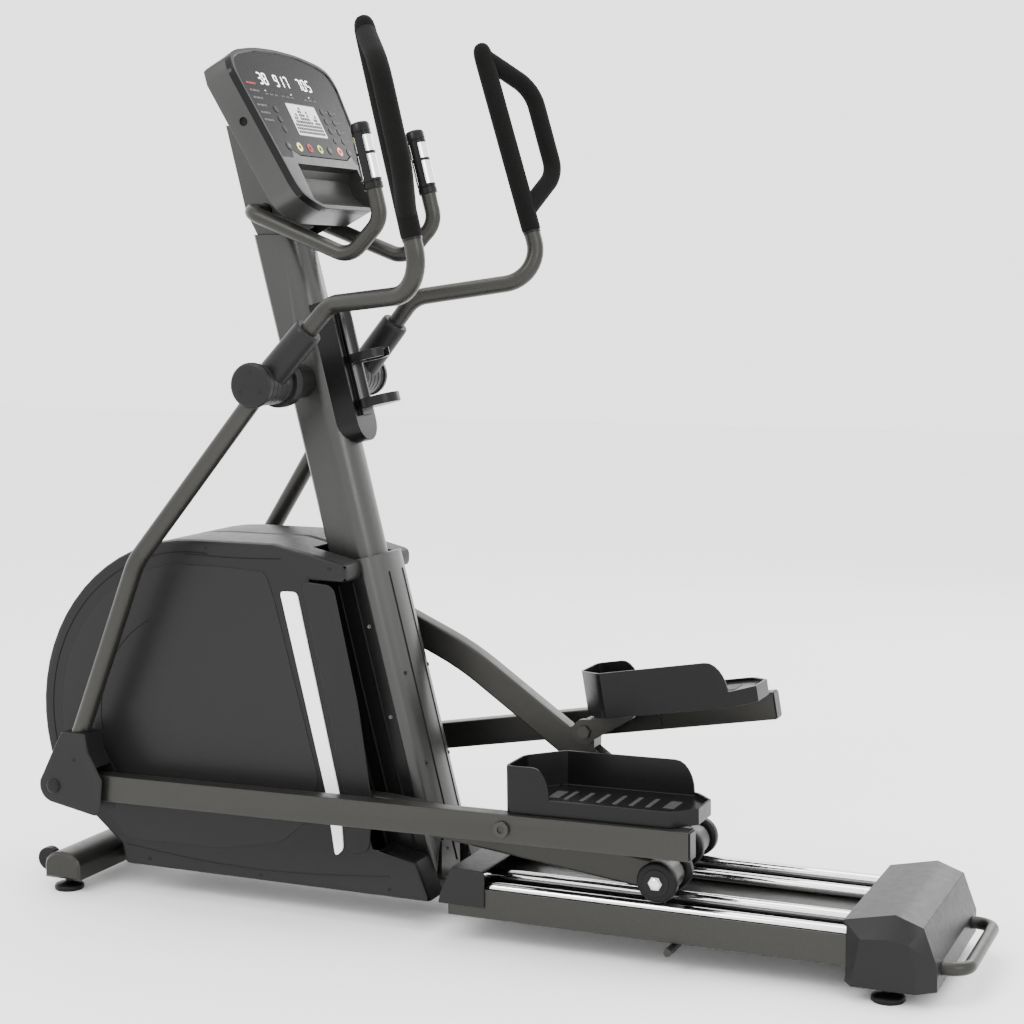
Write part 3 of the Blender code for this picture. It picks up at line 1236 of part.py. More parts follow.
def grip(side, name, axis):
    """Foam handle: a straight bar over the tube and a loop that bows outwards."""
    r = GRIP_RADIUS
    top = GRIP_TOP_Z
    stations = [(grip_point(side, GRIP_START_Z), r - 0.002), (grip_point(side, GRIP_START_Z + 0.010), r),
                (grip_point(side, top - 0.022), r), (grip_point(side, top - 0.008), r * 0.84),
                (grip_point(side, top), r * 0.5)]
    bar = tapered("t", stations)
    corners = [grip_point(side, top - 0.030), grip_point(side, top - 0.100, 1.0),
               grip_point(side, top - 0.285, 0.98), grip_point(side, GRIP_START_Z + 0.045)]
    loop = tube("t", fillet(corners, [0.080, 0.060], 4), r - 0.0012)
    foam = join(bar, loop)
    bore = tube("t", [grip_point(side, GRIP_START_Z - 0.02), grip_point(side, top - 0.030 + GAP)],
                HANDLE_TUBE + 0.001)
    finish(cut(foam, bore), name, "foam", axis)


def casing_outline(inset):
    """(x, z) from the knee: round nose, slanted floor, waisted back and a collar on top."""
    nose = arc(0, 0, 0.037 - inset, 165, 255, 6)
    heel = arc(0.100, -0.040, 0.016 - inset, 255, 350, 4)
    back = [(0.122 - inset, 0.022), (0.106 - inset, 0.050), (0.088 - inset, 0.080),
            (0.082 - inset, 0.118 - inset)]
    front = [(0.022 + inset, 0.118 - inset), (0.005 + inset, 0.088)]
    return [(KNEE[0] + x, KNEE[1] + z) for x, z in nose + heel + back + front]


def joint_casing(side, name, axis):
    """Hollow cover round the knee, open to the rear for the pedal arm."""
    y0, y1 = lane(side, CASING_IN, CASING_OUT)
    shell = prism("t", casing_outline(0.0), y0, y1)
    soften = shell.modifiers.new("edge", 'BEVEL')
    soften.width = 0.004
    soften.segments = 2
    soften.limit_method = 'ANGLE'
    soften.angle_limit = math.radians(60)
    i0, i1 = lane(side, CASING_IN + SHELL, CASING_OUT - SHELL)
    hollow = prism("t", casing_outline(SHELL), i0, i1)
    rear = prism("t", [(KNEE[0] + x, KNEE[1] + z) for x, z in
                       ((0.068, -0.070), (0.150, -0.080), (0.150, 0.056), (0.068, 0.040))], i0, i1)
    shell = cut(shell, hollow, rear)
    route = lower_route(side)
    tube_bore = tube("t", [route[-2], route[-1] + (route[-1] - route[-2]) * 0.02], SWING_TUBE + GAP)
    shell = cut(shell, tube_bore)
    h0, h1 = lane(side, CASING_OUT - 0.002, CASING_OUT + 0.0025)
    finish(join(shell, cross_cylinder("t", *KNEE, 0.0155, h0, h1)), name, "cover", axis)


# ---------------------------------------------------------------- assembly
def build_side(side):
    word = "left" if side == LEFT else "right"
    rest = REST[side]
    axle_x, axle_z = rest["axle"]
    carriage = empty("carriage_" + word, axle_x, axle_z)
    roller_axle(side, "roller_axle_" + word, carriage)
    spin = empty("roller_spin_" + word, 0, 0, carriage)
    roller(side, "roller_inner_" + word, -ROLLER_OFFSET, spin)
    roller(side, "roller_outer_" + word, ROLLER_OFFSET, spin)
    link_axis = empty("link_axis_" + word, 0, 0, carriage, rest["slope"])
    roller_link(side, "roller_link_" + word, link_axis)
    pivot = empty("pedal_axis_" + word, -PIVOT_ALONG, PIVOT_RISE, link_axis,
                  -rest["arm_tilt"] - rest["slope"])
    pedal_arm(side, "pedal_arm_" + word, pivot)
    pedal(side, "pedal_" + word, pivot)
    pivot_bolt(side, "pivot_bolt_" + word, pivot)
    swing = empty("swing_axis_" + word, SWING_X, SWING_Z, None, rest["swing"] - SWING_DRAWN)
    swing_hub(side, "swing_hub_" + word, swing)
    hub_cap(side, "hub_cap_" + word, swing)
    lower_arm(side, "lower_arm_" + word, swing)
    joint_casing(side, "joint_casing_" + word, swing)
    handle_tube(side, "handle_tube_" + word, swing)
    grip(side, "grip_" + word, swing)
    side_cover(side, "side_cover_" + word)
    transport_wheel(side, "transport_wheel_" + word)
    foot(side, "foot_front_" + word, FRONT_FOOT_X, FOOT_LIFT)
    foot(side, "foot_rear_" + word, REAR_FOOT_X, REAR_BAR_Z)
    guide_rail(side, "guide_rail_" + word)
    pulse_grip(side, "pulse_grip_" + word)


def build():
    clear_scene()
    front_stabilizer()
    main_frame()
    rail_base()
    rail_bracket()
    rear_cover()
    carry_handle()
    column_cover()
    mast()
    console_bracket()
    console_housing()
    console_face()
    pulse_handlebar()
    bottle_holder()
    swing_axle()
    axle_housing()
    crank = empty("crank_axis", CRANK_X, CRANK_Z)
    crankshaft(crank)
    drive_pulley(crank)
    crank_arm(LEFT, "crank_arm_left", crank)
    crank_arm(RIGHT, "crank_arm_right", crank)
    wheel = empty("flywheel_axis", FLYWHEEL_X, FLYWHEEL_Z)
    flywheel(wheel)
    drive_belt()
    idler_pulley()
    build_side(LEFT)
    build_side(RIGHT)


build()
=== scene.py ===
import json
import math
import bpy
import bmesh
from mathutils import Matrix, Vector


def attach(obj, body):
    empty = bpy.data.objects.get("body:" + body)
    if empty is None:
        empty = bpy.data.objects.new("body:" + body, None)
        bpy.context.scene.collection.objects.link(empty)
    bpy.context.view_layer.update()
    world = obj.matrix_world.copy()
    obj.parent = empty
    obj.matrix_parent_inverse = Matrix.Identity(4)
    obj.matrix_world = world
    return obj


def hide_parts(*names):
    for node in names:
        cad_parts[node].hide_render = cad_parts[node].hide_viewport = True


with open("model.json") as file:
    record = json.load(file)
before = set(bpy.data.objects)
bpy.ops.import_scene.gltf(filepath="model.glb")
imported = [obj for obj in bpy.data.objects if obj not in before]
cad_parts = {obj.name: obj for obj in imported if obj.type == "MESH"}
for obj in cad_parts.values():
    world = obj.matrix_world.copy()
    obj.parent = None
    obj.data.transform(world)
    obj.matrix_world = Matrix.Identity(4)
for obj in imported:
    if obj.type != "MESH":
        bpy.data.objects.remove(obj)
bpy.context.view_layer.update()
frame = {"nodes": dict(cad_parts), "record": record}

LEFT, RIGHT = -1, 1
SIDES = {LEFT: "left", RIGHT: "right"}
BODY_OF = {node: body for body, nodes in frame["record"]["behaviour"]["bodies"].items() for node in nodes}

# ---------------------------------------------------------------- places taken from the frame's own sizes
SWING_X, SWING_Z = -0.413, 1.100
SWING_TURN = {LEFT: 0.0, RIGHT: -0.07005}      # from the pose the arm's shape is given in
PIVOT = {LEFT: (0.11373, 0.25406), RIGHT: (0.16033, 0.38339)}
ARM_TILT = {LEFT: 0.01013, RIGHT: 0.16887}
AXLE_X, AXLE_Z = {LEFT: 0.41058, RIGHT: 0.38199}, 0.168
MAST_LEAN = math.radians(14.3)
MAST_FOOT_X = -0.059
COVER_Y = 0.150
NOSE_X, NOSE_Z, NOSE_RADIUS = -0.623, 0.390, 0.382
CONSOLE_X, CONSOLE_Z, CONSOLE_LEAN = -0.333, 1.465, math.radians(27.3)
LINK_Y, ARM_Y, HUB_Y, GRIP_Y = 0.125, 0.212, 0.200, 0.322
ROLLER_OFFSET, ROLLER_W = 0.045, 0.026
ROLLER_FACE_Y = LINK_Y + ROLLER_OFFSET + ROLLER_W / 2
RAIL_Z, RAIL_RADIUS = 0.1152, 0.0125
CASING_OUT = 0.248
SWING_LENGTH, KNEE_ANGLE = 0.992, 0.52910
KNEE = (-SWING_LENGTH * math.sin(KNEE_ANGLE), -SWING_LENGTH * math.cos(KNEE_ANGLE))


def turned_frame(x, z, angle):
    """Matrix of a frame at (x, z), turned about an axis along Y."""
    return Matrix.Translation((x, 0, z)) @ Matrix.Rotation(angle, 4, 'Y')


SWING = {side: turned_frame(SWING_X, SWING_Z, SWING_TURN[side]) for side in SIDES}
ARM = {side: turned_frame(*PIVOT[side], -ARM_TILT[side]) for side in SIDES}
AXLE = {side: turned_frame(AXLE_X[side], AXLE_Z, 0.0) for side in SIDES}
WORLD = Matrix.Identity(4)


# ---------------------------------------------------------------- finishes
class Nodes:
    """A material's node tree with short calls for the nodes these finishes share."""

    def __init__(self, name):
        self.material = bpy.data.materials.new(name)
        self.material.use_nodes = True
        self.tree = self.material.node_tree
        self.shader = self.tree.nodes["Principled BSDF"]
        self.place = self.add("ShaderNodeTexCoord").outputs["Object"]

    def add(self, kind, **values):
        node = self.tree.nodes.new(kind)
        for key, value in values.items():
            setattr(node, key, value)
        return node

    def link(self, a, b):
        self.tree.links.new(a, b)

    def noise(self, scale, detail=4.0, rough=0.6):
        node = self.add("ShaderNodeTexNoise")
        node.inputs["Scale"].default_value = scale
        node.inputs["Detail"].default_value = detail
        node.inputs["Roughness"].default_value = rough
        self.link(self.place, node.inputs["Vector"])
        return node.outputs["Fac"]

    def ramp(self, factor, low, high, from_value, to_value):
        node = self.add("ShaderNodeMapRange")
        node.inputs["From Min"].default_value = low
        node.inputs["From Max"].default_value = high
        node.inputs["To Min"].default_value = from_value
        node.inputs["To Max"].default_value = to_value
        self.link(factor, node.inputs["Value"])
        return node.outputs["Result"]

    def mix(self, factor, first, second):
        """Mix two colours; each is a colour tuple or a socket."""
        node = self.add("ShaderNodeMix", data_type='RGBA')
        self.link(factor, node.inputs["Factor"])
        for socket, value in ((node.inputs[6], first), (node.inputs[7], second)):
            if isinstance(value, tuple):
                socket.default_value = (*value, 1.0)
            else:
                self.link(value, socket)
        return node.outputs[2]

    def bump(self, height, strength, distance):
        node = self.add("ShaderNodeBump")
        node.inputs["Strength"].default_value = strength
        node.inputs["Distance"].default_value = distance
        self.link(height, node.inputs["Height"])
        self.link(node.outputs["Normal"], self.shader.inputs["Normal"])

    def edges(self):
        """High on worn convex edges, from the mesh's own curvature."""
        pointy = self.add("ShaderNodeNewGeometry").outputs["Pointiness"]
        return self.ramp(pointy, 0.515, 0.60, 0.0, 1.0)


def shade(colour, factor):
    return tuple(c * factor for c in colour)


def finish(name, colour, roughness, metallic=0.0, speck=0.25, speck_scale=1400.0, bump=0.15,
           depth=0.0002, wear=0.35, drift=0.12, sheen=0.0, coat=0.0, shine=0.16):
    """Grain, slow colour drift, edge wear and a fine bump on one base colour."""
    made = Nodes(name)
    fine = made.noise(speck_scale, 2.0)
    slow = made.noise(3.5, 3.0)
    grain = made.mix(made.ramp(fine, 0.35, 0.65, 0.0, 1.0),
                     shade(colour, 1 - speck), shade(colour, 1 + speck))
    drifted = made.mix(made.ramp(slow, 0.3, 0.7, 0.0, drift), grain, shade(colour, 0.6))
    worn = made.mix(made.ramp(made.edges(), 0.0, 1.0, 0.0, wear), drifted, shade(colour, 1.9))
    made.link(worn, made.shader.inputs["Base Color"])
    made.link(made.ramp(made.noise(60.0), 0.3, 0.7, roughness - 0.03, roughness + 0.04),
              made.shader.inputs["Roughness"])
    made.shader.inputs["Metallic"].default_value = metallic
    made.shader.inputs["Specular IOR Level"].default_value = shine
    made.shader.inputs["Sheen Weight"].default_value = sheen
    made.shader.inputs["Coat Weight"].default_value = coat
    made.shader.inputs["Coat Roughness"].default_value = 0.12
    made.bump(fine, bump, depth)
    return made.material


def glow(name, colour, strength):
    """Lit print on the console."""
    made = Nodes(name)
    made.link(made.mix(made.ramp(made.noise(900.0), 0.3, 0.7, 0.0, 0.25), colour, shade(colour, 0.7)),
              made.shader.inputs["Base Color"])
    made.shader.inputs["Emission Color"].default_value = (*colour, 1.0)
    made.shader.inputs["Emission Strength"].default_value = strength
    made.shader.inputs["Roughness"].default_value = 0.3
    made.shader.inputs["Specular IOR Level"].default_value = 0.08
    return made.material


COAT = finish("dark_powder_coat", (0.034, 0.0335, 0.031), 0.36, 0.75, speck=0.40, speck_scale=2200,
              bump=0.18)
SILVER_GREY = (0.046, 0.046, 0.0445)
SILVER = finish("silver_grey_coat", SILVER_GREY, 0.30, 0.80, speck=0.30, speck_scale=2600, bump=0.12)
SHELL = finish("silver_grey_plastic", SILVER_GREY, 0.32, 0.65, speck=0.25, speck_scale=2600, bump=0.10)
COVER = finish("charcoal_plastic", (0.0082, 0.0082, 0.0081), 0.38, 0.0, speck=0.18, bump=0.10, wear=0.5)
PANEL = finish("charcoal_panel", (0.0100, 0.0100, 0.0099), 0.34, 0.0, speck=0.12, bump=0.06, wear=0.4)
BLACK = finish("black_plastic", (0.0034, 0.0034, 0.0034), 0.30, 0.0, speck=0.2, bump=0.10, wear=0.6)
GLOSS = finish("gloss_overlay", (0.0010, 0.0010, 0.0011), 0.25, 0.0, speck=0.1, bump=0.01, wear=0.0,
               shine=0.06)
FOAM = finish("foam_grip", (0.0050, 0.0048, 0.0046), 0.85, 0.0, speck=0.5, speck_scale=900, bump=0.50,
              depth=0.0006, wear=0.1, sheen=0.02, shine=0.05)
RUBBER = finish("black_rubber", (0.0028, 0.0028, 0.0028), 0.45, 0.0, speck=0.3, bump=0.2, wear=0.5)
CHROME = finish("polished_chrome", (0.78, 0.78, 0.79), 0.12, 1.0, speck=0.02, speck_scale=500, bump=0.02,
                wear=0.05, drift=0.03)
STEEL = finish("zinc_steel", (0.42, 0.42, 0.41), 0.30, 1.0, speck=0.1, bump=0.08, wear=0.2)
IRON = finish("cast_iron", (0.10, 0.10, 0.10), 0.55, 0.9, speck=0.35, speck_scale=500, bump=0.4, wear=0.4)
WHITE = finish("white_print", (0.93, 0.93, 0.93), 0.38, 0.0, speck=0.02, bump=0.03, wear=0.0, drift=0.02)
PAD = finish("grey_tread_pad", (0.030, 0.030, 0.030), 0.50, 0.0, speck=0.3, speck_scale=700, bump=0.35)
SEAM = finish("seam_shadow", (0.0020, 0.0020, 0.0020), 0.7, 0.0, speck=0.1, bump=0.05, wear=0.0)
# painted highlight: lighter grey for the strip on the bed between each pair of rails
HIGHLIGHT = finish("painted_highlight_grey", (0.15, 0.15, 0.145), 0.34, 0.8, speck=0.2, bump=0.1)
LIT = glow("lit_segments", (0.95, 0.95, 0.95), 2.2)
DIM = glow("unlit_segments", (0.010, 0.010, 0.010), 0.0)
SCREEN = glow("screen_grey", (0.60, 0.61, 0.62), 0.50)
PRINT = glow("small_print", (0.08, 0.08, 0.08), 0.02)
YELLOW = glow("key_yellow", (0.80, 0.66, 0.22), 0.5)
RED = glow("key_red", (0.30, 0.020, 0.025), 0.3)
ORANGE = glow("key_orange", (0.85, 0.20, 0.12), 0.6)
LIME = glow("key_lime", (0.45, 0.50, 0.10), 0.35)


# ---------------------------------------------------------------- mesh work
def solid(name, bm):
    bmesh.ops.recalc_face_normals(bm, faces=bm.faces)
    mesh = bpy.data.meshes.new(name)
    bm.to_mesh(mesh)
    bm.free()
    made = bpy.data.objects.new(name, mesh)
    bpy.context.scene.collection.objects.link(made)
    return made


def circle(radius, sides):
    return [(radius * math.cos(2 * math.pi * i / sides), radius * math.sin(2 * math.pi * i / sides))
            for i in range(sides)]


def arc(cx, cz, radius, start, end, steps):
    turn = [math.radians(start + (end - start) * i / steps) for i in range(steps + 1)]
    return [(cx + radius * math.cos(t), cz + radius * math.sin(t)) for t in turn]


def rounded(points, radius, steps=5):
    """Round every corner of a closed 2-D outline."""
    corners = [Vector((*p, 0.0)) for p in points]
    out = []
    for before, corner, after in zip(corners[-1:] + corners[:-1], corners, corners[1:] + corners[:1]):
        reach = min(radius, 0.45 * (before - corner).length, 0.45 * (after - corner).length)
        start = corner + (before - corner).normalized() * reach
        end = corner + (after - corner).normalized() * reach
        for i in range(steps + 1):
            t = i / steps
            p = start * (1 - t) ** 2 + corner * 2 * t * (1 - t) + end * t ** 2
            out.append((p.x, p.y))
    return out


def fillet(points, radii, steps=12):
    """Round the inner corners of a route in space."""
    route = [Vector(points[0])]
    for before, corner, after, radius in zip(points, points[1:], points[2:], radii):
        corner = Vector(corner)
        to_start = (Vector(before) - corner).normalized()
        to_end = (Vector(after) - corner).normalized()
        half = (math.pi - to_start.angle(to_end)) / 2
        centre = corner + (to_start + to_end).normalized() * radius / math.cos(half)
        first = (corner + to_start * radius * math.tan(half) - centre).normalized()
        last = (corner + to_end * radius * math.tan(half) - centre).normalized()
        route += [centre + first.slerp(last, i / steps) * radius for i in range(steps + 1)]
    return route + [Vector(points[-1])]


def sweep(name, route, radius, sides=28, across=(0, 1, 0)):
    """Round bar along a route; radius is one value or one per point."""
    route = [Vector(p) for p in route]
    radii = radius if isinstance(radius, list) else [radius] * len(route)
    bm = bmesh.new()
    side = Vector(across)
    if abs(side.dot((route[1] - route[0]).normalized())) > 0.99:
        side = Vector((1, 0, 0))
    rings = []
    for i, here in enumerate(route):
        before = (here - route[i - 1]).normalized() if i else None
        after = (route[i + 1] - here).normalized() if i + 1 < len(route) else None
        along = ((before or after) + (after or before)).normalized()
        side = (side - along * side.dot(along)).normalized()
        up = along.cross(side)
        rings.append([bm.verts.new(here + side * a + up * b) for a, b in circle(radii[i], sides)])
    for low, high in zip(rings, rings[1:]):
        for k in range(sides):
            m = (k + 1) % sides
            bm.faces.new((low[k], low[m], high[m], high[k]))
    bm.faces.new(rings[0])
    bm.faces.new(rings[-1])
    return solid(name, bm)


def extrude(bm, ring_low, ring_high):
    low = [bm.verts.new(p) for p in ring_low]
    high = [bm.verts.new(p) for p in ring_high]
    bm.faces.new(low)
    bm.faces.new(high)
    for k in range(len(low)):
        m = (k + 1) % len(low)
        bm.faces.new((low[k], low[m], high[m], high[k]))


def plate_y(name, outline, y0, y1):
    """An (x, z) outline between two Y values."""
    bm = bmesh.new()
    extrude(bm, [(x, y0, z) for x, z in outline], [(x, y1, z) for x, z in outline])
    return solid(name, bm)


def plate_z(name, outline, z0, z1):
    bm = bmesh.new()
    extrude(bm, [(x, y, z0) for x, y in outline], [(x, y, z1) for x, y in outline])
    return solid(name, bm)


def turned(name, profile, centre, axis='Y', sides=56):
    """Turn (radius, distance) pairs about an axis through centre; ends at radius 0 close to a point."""
    bm = bmesh.new()
    rings = []
    for radius, along in profile:
        ring = []
        for a, b in circle(max(radius, 0.00005), sides):
            local = {'Y': (a, along, b), 'Z': (a, b, along), 'X': (along, a, b)}[axis]
            ring.append(bm.verts.new(Vector(centre) + Vector(local)))
        rings.append(ring)
    for low, high in zip(rings, rings[1:]):
        for k in range(sides):
            m = (k + 1) % sides
            bm.faces.new((low[k], low[m], high[m], high[k]))
    bm.faces.new(rings[0])
    bm.faces.new(rings[-1])
    return solid(name, bm)


def merged(name, parts):
    """Several loose meshes as one piece."""
    bm = bmesh.new()
    for part in parts:
        part.data.transform(part.matrix_world)
        bm.from_mesh(part.data)
        bpy.data.objects.remove(part, do_unlink=True)
    mesh = bpy.data.meshes.new(name)
    bm.to_mesh(mesh)
    bm.free()
    made = bpy.data.objects.new(name, mesh)
    bpy.context.scene.collection.objects.link(made)
    return made


def soften(made, width, segments=3, angle=35):
    edge = made.modifiers.new("soft_edges", 'BEVEL')
    edge.width = width
    edge.segments = segments
    edge.limit_method = 'ANGLE'
    edge.angle_limit = math.radians(angle)
    edge.harden_normals = False
    made.modifiers.new("even_normals", 'WEIGHTED_NORMAL')


def put(made, material, body, at=WORLD, replaces=(), bevel=0.0, segments=3, angle=35):
    """Give a piece its finish, place and body, and hide the nodes it stands for."""
    made.data.transform(at)
    made.data.materials.clear()
    made.data.materials.append(material)
    made.data.shade_smooth()
    if bevel:
        soften(made, bevel, segments, angle)
    else:
        made.data.set_sharp_from_angle(angle=math.radians(angle))
    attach(made, body)
    if replaces:
        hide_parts(*replaces)
    return made


def skin(node, material, bevel=0.0015, segments=3, angle=35):
    """A softened copy of a frame node: welded, flat areas cleaned, edges rounded."""
    mesh = frame["nodes"][node].data.copy()
    bm = bmesh.new()
    bm.from_mesh(mesh)
    bmesh.ops.remove_doubles(bm, verts=bm.verts, dist=0.00002)
    bmesh.ops.dissolve_limit(bm, angle_limit=math.radians(1.0), verts=bm.verts, edges=bm.edges)
    bm.to_mesh(mesh)
    bm.free()
    made = bpy.data.objects.new("skin_" + node, mesh)
    bpy.context.scene.collection.objects.link(made)
    return put(made, material, BODY_OF[node], replaces=(node,), bevel=bevel, segments=segments, angle=angle)


def lane(side, near, far):
    return side * near, side * far


def mast_point(across, height):
    x = MAST_FOOT_X + across * math.cos(MAST_LEAN) - height * math.sin(MAST_LEAN)
    return x, across * math.sin(MAST_LEAN) + height * math.cos(MAST_LEAN)


def console_point(up, out):
    x = CONSOLE_X - up * math.sin(CONSOLE_LEAN) + out * math.cos(CONSOLE_LEAN)
    return x, CONSOLE_Z + up * math.cos(CONSOLE_LEAN) + out * math.sin(CONSOLE_LEAN)


def screw(name, x, y, z, side, radius=0.004):
    """Sunk cross-head screw whose axis is along Y."""
    profile = [(radius, 0.0), (radius, side * 0.0006), (radius * 0.82, side * 0.0010),
               (radius * 0.45, side * 0.0002), (0.0, side * 0.0001)]
    return turned(name, profile, (x, y, z), sides=24)


# ---------------------------------------------------------------- plain frame nodes: softened copies
for node, material, bevel in (
        ("rail_base", COAT, 0.0012), ("rail_bracket", COVER, 0.0030), ("mast", SILVER, 0.0020),
        ("console_bracket", SILVER, 0.0030), ("column_cover", SHELL, 0.0015),
        ("bottle_holder", BLACK, 0.0015), ("rear_cover", COVER, 0.0030), ("front_stabilizer", COAT, 0.0020),
        ("console_housing", SHELL, 0.0020), ("main_frame", COAT, 0.0015)):
    skin(node, material, bevel)
for side, word in SIDES.items():
    for node, material, bevel in (
            ("side_cover_", COVER, 0.0030), ("joint_casing_", COVER, 0.0030), ("pedal_", BLACK, 0.0014),
            ("pedal_arm_", COAT, 0.0015), ("roller_link_", COAT, 0.0015)):
        skin(node + word, material, bevel)

KEPT = {"console_face": GLOSS, "crankshaft": STEEL, "drive_belt": RUBBER,
        "drive_pulley": IRON, "flywheel": IRON, "idler_pulley": BLACK, "swing_axle": STEEL}
for word in SIDES.values():
    KEPT.update({"crank_arm_" + word: IRON, "roller_axle_" + word: STEEL, "pivot_bolt_" + word: COAT,
                 "transport_wheel_" + word: RUBBER})
for node, material in KEPT.items():
    mesh = frame["nodes"][node].data
    mesh.materials.clear()
    mesh.materials.append(material)


# ---------------------------------------------------------------- floor level: feet, rails, rollers, handle
FOOT_Y = 0.178


def foot(word, x, side, underside):
    profile = [(0.0295, 0.0), (0.0310, 0.0012), (0.0315, 0.0035), (0.0315, 0.0085), (0.0298, 0.0108),
               (0.0255, 0.0128), (0.0110, 0.0158), (0.0085, 0.0172), (0.0080, underside - 0.0004)]
    put(turned("foot_disc_" + word, profile, (x, side * FOOT_Y, 0), 'Z'), RUBBER, "base",
        replaces=("foot_" + word,), angle=50)


foot("front_left", -0.930, LEFT, 0.030)
foot("front_right", -0.930, RIGHT, 0.030)
foot("rear_left", 0.857, LEFT, 0.035)
foot("rear_right", 0.857, RIGHT, 0.035)

for side, word in SIDES.items():
    near, far = side * (LINK_Y - ROLLER_OFFSET), side * (LINK_Y + ROLLER_OFFSET)
    start, end = -0.0035, 0.796
    corners = [(end, near, RAIL_Z), (start, near, RAIL_Z), (start, far, RAIL_Z), (end, far, RAIL_Z)]
    put(sweep("rail_" + word, fillet(corners, [0.044, 0.044], 14), RAIL_RADIUS, across=(0, 0, 1)), CHROME,
        "base", replaces=("guide_rail_" + word,), angle=60)
    for offset, which in ((-ROLLER_OFFSET, "inner"), (ROLLER_OFFSET, "outer")):
        middle = side * (LINK_Y + offset)
        tread = [(0.0085, -0.0130), (0.0330, -0.0130), (0.0360, -0.0122), (0.0388, -0.0100),
                 (0.0400, -0.0075), (0.0400, 0.0075), (0.0388, 0.0100), (0.0360, 0.0122),
                 (0.0330, 0.0130), (0.0085, 0.0130)]
        put(turned("tread_" + which + "_" + word, tread, (0, middle, 0)), RUBBER, "rollers_" + word,
            AXLE[side], replaces=("roller_" + which + "_" + word,), angle=50)
        face = middle + (1 if offset * side > 0 else -1) * 0.0131
        out = 1 if face > middle else -1
        core = [(0.0090, face), (0.0262, face), (0.0255, face + out * 0.0012), (0.0175, face + out * 0.0008),
                (0.0150, face + out * 0.0022), (0.0090, face + out * 0.0022)]
        put(turned("core_" + which + "_" + word, core, (0, 0, 0)), BLACK, "rollers_" + word, AXLE[side])
    tip = side * ROLLER_FACE_Y
    dome = [(0.0105, tip + side * 0.0052), (0.0100, tip + side * 0.0085), (0.0060, tip + side * 0.0112),
            (0.0, tip + side * 0.0118)]
    put(turned("axle_dome_" + word, dome, (0, 0, 0), sides=32), CHROME, "carriage_" + word, AXLE[side])

HANDLE_HALF, HANDLE_Z, HANDLE_RADIUS = 0.145, 0.062, 0.0125
loop = [(0.8803, -HANDLE_HALF, HANDLE_Z), (0.9925, -HANDLE_HALF, HANDLE_Z),
        (0.9925, HANDLE_HALF, HANDLE_Z), (0.8803, HANDLE_HALF, HANDLE_Z)]
put(sweep("lift_handle", fillet(loop, [0.035, 0.035], 14), HANDLE_RADIUS, across=(0, 0, 1)), COAT, "base",
    replaces=("carry_handle",), angle=60)

# thin strip between each pair of rails; its lighter grey is a painted highlight on the bed under the rollers
for side, word in SIDES.items():
    centre = side * LINK_Y
    strip = plate_z("highlight_strip_" + word, rounded([(0.045, centre - 0.026), (0.768, centre - 0.026),
                                                  (0.768, centre + 0.026), (0.045, centre + 0.026)], 0.004),
                    0.1026, 0.1052)
    put(strip, HIGHLIGHT, "base", bevel=0.0006, segments=2)

# plug that closes the open end of the centre beam
plug_outline = [(0.776, 0.0415), (0.7925, 0.0415), (0.7925, 0.0745), (0.776, 0.0745)]
plug = plate_y("beam_plug", rounded(plug_outline, 0.002), -0.0265, 0.0265)
put(plug, BLACK, "base", bevel=0.002)


# ---------------------------------------------------------------- housing: panels, stripe, seams, screws
def outline_nose(inset, start=90, end=205):
    return arc(NOSE_X, NOSE_Z, NOSE_RADIUS - inset, start, end, 48)


def line_on_cover(name, points, side, width, high=0.0008, material=SEAM):
    """Narrow line that follows (x, z) points on the housing's flat side."""
    left_edge, right_edge = [], []
    for i, (x, z) in enumerate(points):
        ahead = points[min(i + 1, len(points) - 1)]
        behind = points[max(i - 1, 0)]
        run = Vector((ahead[0] - behind[0], ahead[1] - behind[1])).normalized()
        left_edge.append((x - run.y * width / 2, z + run.x * width / 2))
        right_edge.append((x + run.y * width / 2, z - run.x * width / 2))
    y0, y1 = lane(side, COVER_Y - 0.0010, COVER_Y + high)
    bm = bmesh.new()
    rows = []
    for edge in (left_edge, right_edge):
        rows.append(([bm.verts.new((x, y0, z)) for x, z in edge],
                     [bm.verts.new((x, y1, z)) for x, z in edge]))
    (l0, l1), (r0, r1) = rows
    for k in range(len(points) - 1):
        for a, b in ((l0, l1), (l1, r1), (r1, r0), (r0, l0)):
            bm.faces.new((a[k], a[k + 1], b[k + 1], b[k]))
    bm.faces.new((l0[0], l1[0], r1[0], r0[0]))
    bm.faces.new((l0[-1], l1[-1], r1[-1], r0[-1]))
    return put(solid(name, bm), material, "base", angle=40)


def raised_on_cover(name, outline, side, high, material, bevel=0.0008):
    y0, y1 = lane(side, COVER_Y - 0.0010, COVER_Y + high)
    return put(plate_y(name, outline, y0, y1), material, "base", bevel=bevel, segments=3)


